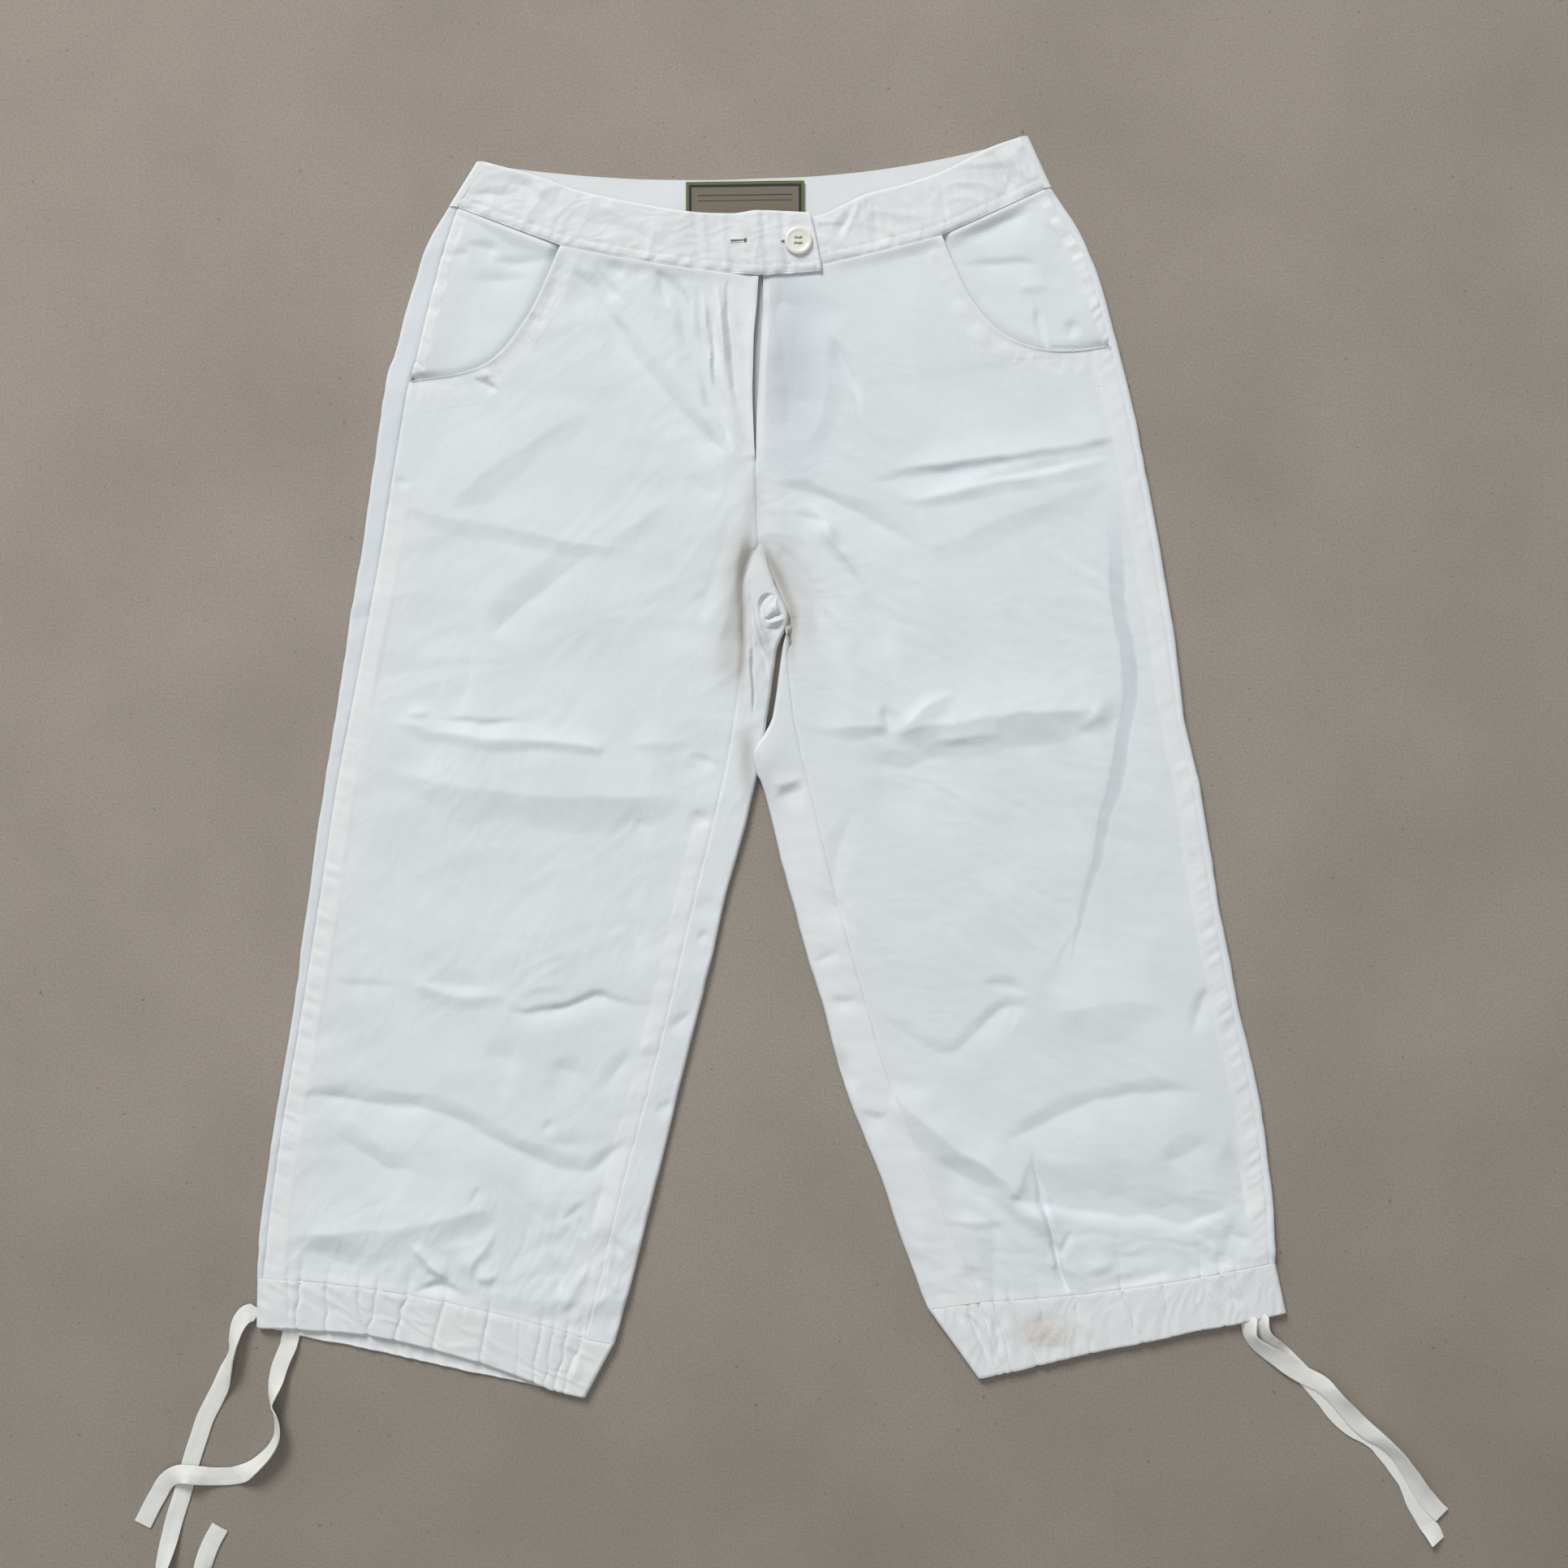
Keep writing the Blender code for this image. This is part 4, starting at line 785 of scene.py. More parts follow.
def relief(plan, creases):
    """Height of creases over plan points.

    Each crease is a roof along its line: both faces fall from the line to
    nothing at CREASE_FACE widths, as the remaining share of that way to the
    power of CREASE_CURVE.  Cloth that was smoothed down towards the hems
    leans, so the face on the waist's side of a ridge, and on the hem's side
    of a trough, is longer and more hollow where the crease runs crosswise.
    A crease is a wedge: it narrows to its ends, and swells on its way.
    """
    height = np.zeros(plan.shape[:-1])
    shaken = plan + 1.1 * wander(plan, 13.0, 13.0, 901)
    for number, crease in enumerate(creases):
        margin = CREASE_FACE * (1.0 + CREASE_LEAN) * max(crease.left, crease.right)
        near, best, side, level, at, run = beside(shaken, fine_line(crease), margin)
        if not near.any():
            continue
        width = np.where(side > 0, crease.left, crease.right)
        lean = np.clip(side * level * np.sign(crease.height), 0.0, 1.0)
        taper = ease(np.minimum(at, 1.0 - at) * run / min(0.42 * run, 34.0))
        width = width * (1.0 + CREASE_LEAN * lean) * (0.4 + 0.6 * taper)
        width = width * (1.0 + 0.25 * ripple(at * run, 26.0, 500 + number))
        taper *= 0.85 + 0.22 * ripple(at * run, 16.0, 300 + number)
        face = np.clip(1.0 - best / width / CREASE_FACE, 0.0, 1.0)
        height[near] += crease.height * taper * face ** (CREASE_CURVE + 0.7 * lean)
    return height


def shade_marks(plan, marks):
    """Strength of painted shade beside lines: bell curves that end in a taper."""
    total = np.zeros(plan.shape[:-1])
    for mark in marks:
        near, best, side, _, at, run = beside(plan, fine_line(mark), 3.0 * mark.right)
        width = np.where(side > 0, mark.left, mark.right)
        taper = ease(np.minimum(at, 1.0 - at) * run / min(0.4 * run, 24.0))
        total[near] += mark.height * taper * bell(best, width)
    return total


def stripe(plan):
    """Mask of the stripe of painted shade down the right leg, where a fold behind
    the front ends: an even band with clear edges that narrows to a point at the knee."""
    line = Crease(1.0, STRIPE_HALF, STRIPE_HALF, STRIPE)
    near, best, _, _, at, _ = beside(plan, fine_line(line), 2.0 * STRIPE_HALF)
    mask = np.zeros(plan.shape[:-1])
    wide = STRIPE_HALF * np.clip(2.4 * (1.0 - at), 0.0, 1.0)
    mask[near] = within(best, wide, 1.5) * ease(at * 7.0) * (wide > 0.2)
    return mask


def facets(plan, size, seed):
    """Flat facets with sharp edges, from -1 to 1: random heights on a lattice
    of equilateral triangles, joined by a plane over each triangle.  0.5774
    and 1.1547 are 1 and 2 over the square root of 3."""
    lattice = np.random.default_rng(seed).uniform(-1.0, 1.0, (WIDE, TALL))
    x = plan[..., 0] / size + plan[..., 1] / size * 0.5774 + 4000.0
    y = plan[..., 1] / size * 1.1547 + 4000.0
    i, j = np.floor(x).astype(int), np.floor(y).astype(int)
    u, v = x - i, y - j
    upper = u + v > 1.0
    corner = np.where(upper, lattice[(i + 1) % WIDE, (j + 1) % TALL], lattice[i % WIDE, j % TALL])
    right = lattice[(i + 1) % WIDE, j % TALL]
    above = lattice[i % WIDE, (j + 1) % TALL]
    a = np.where(upper, 1.0 - v, u)
    b = np.where(upper, 1.0 - u, v)
    return corner + (right - corner) * a + (above - corner) * b


def crumple(plan, size, seed):
    """Sharp small folds of crushed cloth, from -1 to 1.

    Facets are turned and warped by hills, and folded over where they cross
    zero, which adds a sharp line through the middle of many of them.
    """
    turn = seed * 1.3
    moved = plan + 0.35 * size * wander(plan, size * 1.7, size * 1.7, seed + 1)
    turned = np.stack([np.cos(turn) * moved[..., 0] - np.sin(turn) * moved[..., 1],
        np.sin(turn) * moved[..., 0] + np.cos(turn) * moved[..., 1]], axis=-1)
    return 1.0 - 2.2 * np.abs(facets(turned, size, seed))


def cloth_height(plan, leg):
    """Rise of a leg's cloth: its creases, broad soft hills and fine crumples."""
    rise = 1.3 * relief(plan, leg.creases) * settings().crease_depth
    rise += 0.9 * hills(plan, 85.0, leg.seed) + 0.25 * hills(plan, 36.0, leg.seed + 20)
    rise += 0.8 * facets(plan, 75.0, leg.seed + 8)
    y = plan[..., 1]
    crushed = (0.42 + 0.3 * hills(plan, 110.0, leg.seed + 50) + 1.0 * ease((-275.0 - y) / 60.0)
        + 0.5 * np.exp(-((plan[..., 0] + 5.0) / 60.0) ** 2 - ((y - 130.0) / 80.0) ** 2))
    rise += crushed * (0.62 * crumple(plan, 46.0, leg.seed + 3)
        + 0.34 * crumple(plan, 22.0, leg.seed + 5) + 0.15 * crumple(plan, 10.0, leg.seed + 7))
    return rise


def skin_normals(skin, ring):
    """Unit normals of a grid of points, from its slopes along both ways."""
    if ring:
        across = np.roll(skin, -1, axis=1) - np.roll(skin, 1, axis=1)
    else:
        across = np.gradient(skin, axis=1)
    normal = np.cross(across, np.gradient(skin, axis=0))
    return normal / np.maximum(np.linalg.norm(normal, axis=-1, keepdims=True), 1e-9)


def quads(rows, columns, ring, first):
    """Corner numbers of the cells of a grid whose points start at first."""
    index = first + np.arange(rows * columns).reshape(rows, columns)
    if ring:
        index = np.hstack([index, index[:, :1]])
    cells = np.stack([index[:-1, :-1], index[:-1, 1:], index[1:, 1:], index[1:, :-1]], axis=-1)
    return index, cells.reshape(-1, 4)


def rim(fine, coarse):
    """Triangles between a fine edge and a coarse one with half its points."""
    a, b, c = fine[0:-2:2], fine[1:-1:2], fine[2::2]
    d, e = coarse[:-1], coarse[1:]
    return np.concatenate([np.stack([a, b, d], 1), np.stack([b, e, d], 1), np.stack([b, c, e], 1)])


def into_scene(name, data, place=(0.0, 0.0, 0.0)):
    """A new object that stands at a place in the scene."""
    item = bpy.data.objects.new(name, data)
    item.location = place
    bpy.context.scene.collection.objects.link(item)
    return item


def put(name, points, faces, material, uv=None, marks=None):
    """Make one smooth object in the part's frame from points in millimetres."""
    mesh = bpy.data.meshes.new(name)
    mesh.from_pydata((np.asarray(points) * MM).tolist(), [], faces)
    if uv is not None:
        corner = np.zeros(len(mesh.loops), np.int32)
        mesh.loops.foreach_get("vertex_index", corner)
        layer = mesh.uv_layers.new(name="cloth")
        layer.data.foreach_set("uv", (np.asarray(uv)[corner] * MM).astype(np.float32).ravel())
    for mark, values in (marks or {}).items():
        layer = mesh.attributes.new(mark, "FLOAT", "POINT")
        layer.data.foreach_set("value", values.astype(np.float32))
    mesh.materials.append(material)
    mesh.shade_smooth()
    mesh.set_sharp_from_angle(angle=pi / 3.0)
    item = into_scene(name, mesh)
    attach(item, "root")
    return item


def shell(name, skin, thick, material, ply_and_painted_shade=None, ring=False, shaded_and_soiled=False):
    """A closed wall of cloth: the fine outer skin, an inner skin of every
    second point that lies thick inside it along its normal, and the rims."""
    rows, columns = skin.shape[:2]
    normal = skin_normals(skin, ring)
    share = max(2, columns // 12)
    flipped = normal[:, :share, 2].mean() < 0
    if flipped:
        normal = -normal
    core = (skin - normal * thick)[::2, ::2]
    across = np.linalg.norm(np.diff(skin, axis=1), axis=-1)
    down = np.linalg.norm(np.diff(skin, axis=0), axis=-1)
    u = np.concatenate([np.zeros((rows, 1)), np.cumsum(across, axis=1)], axis=1)
    v = np.concatenate([np.zeros((1, columns)), np.cumsum(down, axis=0)], axis=0)
    uv = np.dstack([u, v])
    ply_and_painted_shade = np.zeros((rows, columns)) if ply_and_painted_shade is None else ply_and_painted_shade
    shade_and_soil = np.zeros((rows, columns))
    # painted shade, with some soil at the crotch: strength of the shade marks in the table above
    if shaded_and_soiled:
        shade_and_soil = np.clip(shade_marks(skin[..., 0:2], SHADE_AND_SOIL), 0.0, 1.0)
    fine, outer = quads(rows, columns, ring, 0)
    coarse, inner = quads(*core.shape[:2], ring, rows * columns)
    faces = [outer, inner[:, ::-1]]
    rims = [rim(fine[0, ::-1], coarse[0, ::-1]), rim(fine[-1], coarse[-1])]
    if not ring:
        rims += [rim(fine[:, 0], coarse[:, 0]), rim(fine[::-1, -1], coarse[::-1, -1])]
    if flipped:
        faces = [cells[:, ::-1] for cells in faces]
        rims = [cells[:, ::-1] for cells in rims]
    faces = np.concatenate(faces).tolist() + np.concatenate(rims).tolist()
    points = np.concatenate([skin.reshape(-1, 3), core.reshape(-1, 3)])
    uv = np.concatenate([uv.reshape(-1, 2), uv[::2, ::2].reshape(-1, 2)])
    marks = {"ply_and_painted_shade": np.concatenate([ply_and_painted_shade.ravel(), ply_and_painted_shade[::2, ::2].ravel()]),
        "shade_and_soil": np.concatenate([shade_and_soil.ravel(), shade_and_soil[::2, ::2].ravel()])}
    return put(name, points, faces, material, uv, marks)


def on_grid(skin, rows, columns):
    """Points of a grid surface at fractional row and column numbers."""
    rows = np.clip(rows, 0, skin.shape[0] - 1.001)
    columns = np.clip(columns, 0, skin.shape[1] - 1.001)
    i, j = rows.astype(int), columns.astype(int)
    u, v = (rows - i)[:, None], (columns - j)[:, None]
    return ((skin[i, j] * (1 - v) + skin[i, j + 1] * v) * (1 - u)
            + (skin[i + 1, j] * (1 - v) + skin[i + 1, j + 1] * v) * u)


def laid_on(skin, plan):
    """Plan points lifted onto the nearest points of a grid surface."""
    cloud = skin.reshape(-1, 3)
    lifted = []
    for part in np.array_split(plan, max(1, len(plan) // 60)):
        off = np.hypot(part[:, None, 0] - cloud[None, :, 0], part[:, None, 1] - cloud[None, :, 1])
        lifted.append(cloud[np.argmin(off, axis=1), 2])
    return np.column_stack([plan, np.concatenate(lifted)])


def run_along(line):
    """Run from a line's first point to each of its points."""
    return np.concatenate([[0.0], np.cumsum(np.linalg.norm(np.diff(line, axis=0), axis=1))])


def even_points(line, count):
    """Points at even distances along a line of points."""
    run = run_along(line)
    at = np.linspace(0.0, run[-1], count)
    return np.column_stack([np.interp(at, run, column) for column in line.T])


def spaced(line, step):
    """Points about a step apart along a line of points."""
    return even_points(line, max(2, int(round(run_along(line)[-1] / step)) + 1))


STITCH_SIDES = 6
STITCH_PROFILE = ((0.0, 0.35), (0.12, 0.85), (0.5, 1.0), (0.88, 0.85), (1.0, 0.35))


def stitches(lines, length, thick, sink=0.25):
    """Points and faces of one row of stitches for each line.

    A stitch is a bead of thread: a ring of STITCH_SIDES points carried from
    one end to the other while its radius follows STITCH_PROFILE, with its
    middle raised and its ends pulled into the cloth by sink.
    """
    starts, ends = [], []
    for line in lines:
        ticks = spaced(np.asarray(line, float), length * 1.18)
        run = np.diff(ticks, axis=0)
        starts.append(ticks[:-1] + run * 0.075)
        ends.append(ticks[:-1] + run * 0.925)
    start, end = np.concatenate(starts), np.concatenate(ends)
    profile = np.array(STITCH_PROFILE)
    run = end - start
    side = np.cross(run, (0.0, 0.0, 1.0))
    side /= np.maximum(np.linalg.norm(side, axis=1, keepdims=True), 1e-9)
    up = np.cross(side, run)
    up /= np.maximum(np.linalg.norm(up, axis=1, keepdims=True), 1e-9)
    turn = np.arange(STITCH_SIDES) * 2.0 * pi / STITCH_SIDES
    at, size = profile[:, 0], profile[:, 1] * thick / 2.0
    middle = start[:, None] + run[:, None] * at[None, :, None]
    dip = thick * 0.2 - (thick * sink + 0.25) * (2.0 * at - 1.0) ** 2
    middle = middle + up[:, None] * dip[None, :, None]
    ring = (side[:, None, None] * np.cos(turn)[None, None, :, None]
            + up[:, None, None] * np.sin(turn)[None, None, :, None])
    points = middle[:, :, None] + ring * size[None, :, None, None]
    rings = len(profile)
    base = np.arange(rings * STITCH_SIDES).reshape(rings, STITCH_SIDES)
    nxt = np.roll(base, -1, axis=1)
    walls = np.stack([base[:-1], nxt[:-1], nxt[1:], base[1:]], axis=-1).reshape(-1, 4)
    shift = np.arange(len(start))[:, None, None] * rings * STITCH_SIDES
    faces = (walls[None] + shift).reshape(-1, 4).tolist()
    caps = np.stack([base[0][::-1], base[-1]])[None] + shift
    faces += caps.reshape(-1, STITCH_SIDES).tolist()
    return points.reshape(-1, 3), faces


def sew(name, lines, material, length=None, thick=0.45, sink=0.25):
    """One piece of thread that holds all the stitches of the lines."""
    length = length or settings().stitch_length / MM
    points, faces = stitches(lines, length, thick, sink)
    return put(name, points, faces, material)


# ---- leg shapes

FRONT_ROWS = 440
FRONT_COLUMNS = 174
FINE_STEP = 0.45        # from row to row at both ends of a front
UNDER_SEAM = 1.3        # how far an edge runs on under its neighbour
UNDER_DROP = 1.6        # and how much lower it lies there
LAP = (140.0, 218.0)    # the right front's edge runs under the left one between these y

# Where the right leg lies over the left one: x, y, width, length and rise.
LIFT_SPOT = (-9.0, 6.0, 17.0, 24.0, 5.4)


def leg_rows(leg, count, fine=0, dense=(0, 0, 0)):
    """count + 1 rows down a leg: row numbers and the table there.

    They are spread evenly, but fine of them lie FINE_STEP apart at either
    end, and dense adds some between two row numbers.
    """
    numbers = np.linspace(0, len(leg.rows) - 1, 2000)
    table = smooth(leg.rows, numbers)
    runs = [np.hypot(*np.diff(table[:, k:k + 2], axis=0).T) for k in (0, 3)]
    along = np.concatenate([[0.0], np.cumsum((runs[0] + runs[1]) / 2.0)])
    first, last = FINE_STEP * fine, along[-1] - FINE_STEP * fine
    low, high, more = dense
    places = np.concatenate([np.linspace(0.0, first, fine + 1)[:fine],
        np.linspace(first, last, count + 1 - 2 * fine - more),
        np.linspace(last, along[-1], fine + 1)[1:],
        np.interp(np.linspace(low, high, more + 2)[1:-1], numbers, along)])
    at = np.interp(np.sort(places), along, numbers)
    rows = smooth(leg.rows, at)
    rows[:, 6] = ease(np.clip(rows[:, 6], 0.0, 1.0))
    return at, rows


def fade(at, end):
    """1 at a row number, falling to 0 over BOW_ROWS."""
    return np.clip(1.0 - np.abs(at - end) / BOW_ROWS, 0.0, 1.0)


def sag(share, bow):
    """Drop at shares 0 to 1 of a row whose middle sinks by bow: a parabola."""
    return bow * 4.0 * share * (1.0 - share)


def row_lines(rows):
    """Outer fold point, unit direction inward and width of each row."""
    side, inner = rows[:, 0:2], rows[:, 3:5]
    run = inner - side
    length = np.hypot(run[:, 0], run[:, 1])
    direction = run / length[:, None]
    return side - direction * rows[:, 2:3], direction, length + rows[:, 2]


def lift(plan, leg):
    """Rise of the right leg's inner edge where it crosses over the left leg."""
    if leg.side > 0:
        return np.zeros(plan.shape[:-1])
    x, y, wide, long, high = LIFT_SPOT
    return high * np.exp(-((plan[..., 0] - x) / wide) ** 2 - ((plan[..., 1] - y) / long) ** 2)


def front_grid(leg):
    """Row numbers and plan points of a front panel, and the distances of its
    points from its outer, inner, top and lower edges.

    Each row runs straight between its edges and sinks by its bow, and a last
    column lies under the neighbour where the fronts lap.
    """
    at, rows = leg_rows(leg, FRONT_ROWS, 8)
    start, direction, width = row_lines(rows)
    outer = start + direction * rows[:, 2:3]
    inner = start + direction * (width - rows[:, 5])[:, None]
    outer = np.where((at < POCKET_ROW)[:, None], smooth(leg.pocket, at), outer)
    last = len(leg.centre) - 1
    share = np.clip(at - last, 0.0, 1.0)[:, None]
    inner = smooth(leg.centre, at) * (1.0 - share) + inner * share
    span = np.hypot(*(inner - outer).T)
    step = (inner - outer) / span[:, None] * GAP / 2.0
    outer, inner = outer + step, inner - step
    across = np.linspace(0.0, 1.0, FRONT_COLUMNS)[None] + np.zeros((len(rows), 1))
    y = inner[:, 1:]
    under = UNDER_SEAM * ease((LAP[1] - y) / 4.0) * ease((y - LAP[0]) / 8.0)
    under = under * (leg.side < 0) + 0.02
    across = np.hstack([across, 1.0 + under / span[:, None]])
    plan = outer[:, None] * (1 - across[..., None]) + inner[:, None] * across[..., None]
    bow = leg.bows.waist_front * fade(at * 2, 0) + leg.bows.hem_front * fade(at, len(leg.rows) - 1)
    plan[..., 1] -= sag(across, bow[:, None])
    from_outer = across * span[:, None]
    from_inner = (1.0 - across) * span[:, None]
    step_down = np.hypot(*np.moveaxis(np.diff(plan, axis=0), -1, 0))
    from_top = np.concatenate([np.zeros((1, plan.shape[1])), np.cumsum(step_down, axis=0)])
    from_hem = from_top[-1:] - from_top
    return at, plan, from_outer, from_inner, from_top, from_hem


def groove(distance, depth=0.5, width=0.9):
    """Dip of the cloth into a seam, at distances from it."""
    return -depth * bell(distance, width)


def front_skin(leg):
    """Skin of one front panel, and its mark of ply and painted shade.

    Its height is the pile plus the leg's creases, with grooves at the seams,
    a thick turned edge at the pocket, and puckers along the seam allowances.
    """
    at, plan, from_outer, from_inner, from_top, from_hem = front_grid(leg)
    ends = ease(from_top / 9.0) * ease(from_hem / 7.0)
    rise = cloth_height(plan, leg)
    gathered = gather_folds(from_outer + leg.rows[-1].fold, 0.0, leg) * np.exp(-from_hem / 10.0)
    pocket = (at < POCKET_ROW)[:, None] & np.ones_like(from_outer, bool)
    # seam allowances: a warm strip beside the side seam, one at the inseam on
    # the left leg, the pocket's stitched band and the fly's facing
    y = plan[..., 1]
    side_band = np.where(pocket, 0.0, within(from_outer, 13.5))
    if leg.side > 0:
        side_band *= ease((182.0 - y) / 3.0)
    else:
        side_band *= 0.8 + 0.2 * ease((60.0 - y) / 20.0)
    edge, around = beside_pocket(plan, leg)
    bag_band = within(edge, 15.5) * (y > 235.0)
    fly = within(from_inner, 31.0 - 22.0 * ease((300.0 - y) / 90.0)) * ease((y - 209.0) / 4.0)
    inseam = np.zeros_like(y)
    if leg.side > 0:
        inseam = within(from_inner, 12.5) * ease((-36.0 - y) / 6.0)
    else:
        fly = within(from_inner, 4.8, 0.8) * ease((y - 213.0) / 6.0)
    ply_and_painted_shade = np.maximum.reduce([side_band * 0.9, bag_band * 0.35, fly * 0.5, inseam * 0.8])
    # puckers, finest along the side seams
    rough = np.where(y < -60.0, 1.0, 0.45)
    puckers = side_band * rough * bell(from_outer - 5.0, 6.0)
    rise = rise * (1.0 - 0.45 * side_band)
    rise += puckers * (0.5 + 0.3 * ripple(from_top, 31.0, leg.seed + 2)) * (
        ripple(from_top, 4.6, leg.seed + 3) + 0.5 * ripple(from_top, 2.6, leg.seed + 4))
    rise += inseam * 0.35 * ripple(from_top, 8.0, leg.seed + 5)
    around = around + 2.0 * hills(plan, 9.0, leg.seed + 6)
    rise += bag_band * bell(edge - 9.5, 5.0) * (
        0.42 * ripple(around, 5.2, leg.seed + 7) + 0.25 * ripple(around, 2.9, leg.seed + 8))
    rise += 0.25 * (ply_and_painted_shade > 0.3) * ease(ply_and_painted_shade)
    below_band = ease(from_top / 3.0) * np.exp(-from_top / 11.0)
    rise += 0.55 * ripple(from_outer, 8.5, leg.seed + 15) * below_band
    height = PILE - 0.5 + rise * ends - 0.8 * gathered
    seam = np.where(pocket, 99.0, from_outer)
    height += groove(seam) + 0.5 * bell(from_hem, 4.0)
    below_fly = ease((214.0 - y) / 4.0)
    height += groove(from_inner) * below_fly
    if leg.side > 0:
        height += 0.6 * bell(from_inner - 1.9, 1.1) * below_fly * (y > 150.0)
    else:
        height -= 0.5 * bell(from_inner, 4.5) * below_fly * ease((y - 140.0) / 20.0)
    height += 0.75 * bell(from_top, 5.0)
    # both fronts dive beside the fork, which stands up between them
    beside_fork = ease((160.0 - y) / 16.0) * ease((y - 74.0) / 22.0)
    height -= 3.6 * np.exp(-(np.abs(from_inner) / 5.5) ** 1.5) * beside_fork
    # the pocket's turned edge stands up, most near its top
    stand = (0.9 + 0.5 * ease((y - 290.0) / 40.0)) * ease(from_top / 6.0)
    height += stand * bell(from_outer, 4.5) * pocket
    height -= 0.35 * bell(from_outer, 0.7) * pocket
    height += lift(plan, leg)
    height -= UNDER_DROP * ease(-from_inner / UNDER_SEAM)
    height = np.maximum(height, 1.9)
    # the last of the cloth is turned under the waistband and the casing
    turned_in = 1.0 - ease((np.minimum(from_top, from_hem) - 0.05) / 0.4)
    plan[..., 1] += TURNED * turned_in * np.sign(from_hem - from_top)
    height = height * (1.0 - turned_in) + np.where(y > 0.0, 3.9, 4.0 - 0.9 * gathered) * turned_in
    if leg.side > 0:
        height += 1.2 * bell(from_inner, 5.0) * (1.0 - below_fly)
    else:
        height -= 0.9 * bell(from_inner, 4.0) * (1.0 - below_fly)
        height = np.maximum(height, np.where(y > 196.0, 2.9, 1.9))
        # painted shade: a blue grey hollow right of the fly and the shaded stripe down the leg lower the
        # ply mark
        hollow_shade = np.exp(-((plan[..., 0] - 14.0) / 22.0) ** 2 - ((y - 272.0) / 52.0) ** 2)
        stripe_shade = stripe(plan + 1.4 * wander(plan, 16.0, 9.0, 911))
        height -= 0.3 * stripe_shade
        ply_and_painted_shade = ply_and_painted_shade - 0.8 * hollow_shade * (1.0 - fly) - 0.62 * stripe_shade
    return np.dstack([plan, height]), ply_and_painted_shade


def pocket_line(leg):
    """The pocket edge as a fine line of points."""
    return smooth(leg.pocket, np.linspace(0.0, POCKET_ROW, 81))


def beside_pocket(plan, leg):
    """Distance of plan points from the pocket edge, and the run along it of
    the place that is nearest to each."""
    line = pocket_line(leg)
    best = np.full(plan.shape[:-1], np.inf)
    at = np.zeros(plan.shape[:-1])
    for point, place in zip(line, run_along(line)):
        off = np.hypot(*np.moveaxis(plan - point, -1, 0))
        closer = off < best
        best[closer], at[closer] = off[closer], place
    return best, at


# Rows down a back piece, and the cells of each stretch of a row.
BACK_ROWS = 470
FORK_ROWS = (7.4, 11.0, 130)    # row numbers beside the fork, and how many more rows there
STRIP_CELLS = 8
FOLD_CELLS = 10
FLOOR_CELLS = 34
TAIL_CELLS = 30
FORK_CELLS = 48


def tube_row_points(rows, pile, tail_cells):
    """Along and height of a back piece's outer skin on each row.

    From the side seam a strip runs to the fold, the fold is half a turn of a
    circle, the floor follows, and the inner edge rolls up by the row's curl
    and runs on to the inseam.  Both edges run on under their neighbours.
    """
    start, direction, width = row_lines(rows)
    centre = pile / 2.0
    fold, fork, turn = rows[:, 2:3], rows[:, 5:6], rows[:, 6:7] * pi
    tail = np.maximum(fork - centre + pi * centre - GAP / 2.0, 0.5)
    straight = np.maximum(0.0, tail - centre * turn)
    reach = centre * np.sin(np.minimum(turn, pi / 2)) + straight * np.maximum(0.0, np.cos(turn))
    floor_end = width[:, None] - reach - np.where(turn < pi / 2.0, GAP / 2.0, 0.0)
    strip = np.linspace(1.0, 0.0, STRIP_CELLS)[None]
    angle = np.linspace(0.0, pi, FOLD_CELLS + 1)[None, 1:]
    floor = shares(FLOOR_CELLS)[None, 1:]
    one = np.ones((len(rows), 1))
    along = [fold + UNDER_SEAM, centre + (fold - GAP / 2.0 - centre) * strip,
        one * (centre - centre * np.sin(angle)), centre + (floor_end - centre) * floor]
    height = [one * (pile - UNDER_DROP), one * pile * np.ones_like(strip),
        one * (centre + centre * np.cos(angle)), one * np.zeros_like(floor)]
    if tail_cells:
        arc = np.minimum(0.8 * tail, pi * centre)
        rolled = shares(FOLD_CELLS)[None, 1:] * arc
        rest = arc + (tail - arc) * np.linspace(0.0, 1.0, tail_cells)[None, 1:]
        run = np.concatenate([rolled, rest, tail + UNDER_SEAM], axis=1)
        bend = np.minimum(run / centre, turn)
        free = np.maximum(run - centre * turn, 0.0)
        along.append(floor_end + centre * np.sin(bend) + free * np.cos(turn))
        height.append(centre - centre * np.cos(bend) + free * np.sin(turn))
        height[-1][:, -1:] -= UNDER_DROP * ease(turn / pi * 2.0 - 1.0)
    return start, direction, np.concatenate(along, axis=1), np.concatenate(height, axis=1)


UNDERSIDE_CREASES = crease_table(
    (1.2, 9, 6, (-250, 250), (-190, 236), (-120, 240), (-60, 226)),
    (0.9, 5, 8, (-220, 150), (-160, 120), (-90, 128)),
    (1.3, 8, 8, (-290, 20), (-220, 8), (-130, -4), (-60, -8)),
    (1, 5, 5, (-280, -100), (-220, -84), (-160, -92)),
    (1.3, 9, 6, (-310, -190), (-240, -206), (-160, -230), (-110, -224)),
    (1.1, 5, 7, (-320, -300), (-260, -316), (-190, -306)),
    (0.9, 4, 6, (-180, -330), (-150, -300), (-130, -260)),
    (1.2, 7, 9, (40, 236), (110, 220), (190, 240), (236, 232)),
    (1, 6, 6, (30, 120), (90, 96), (160, 104)),
    (1.3, 9, 7, (30, 10), (110, -6), (200, 6), (270, 2)),
    (0.9, 5, 6, (80, -100), (140, -84), (200, -96)),
    (1.3, 8, 7, (80, -190), (160, -210), (250, -196), (310, -206)),
    (1.1, 5, 6, (130, -300), (190, -284), (280, -300)),
    (0.9, 4, 4, (60, 330), (90, 280), (100, 240)),
    (0.9, 4, 4, (-60, 330), (-84, 286), (-90, 246)),
)


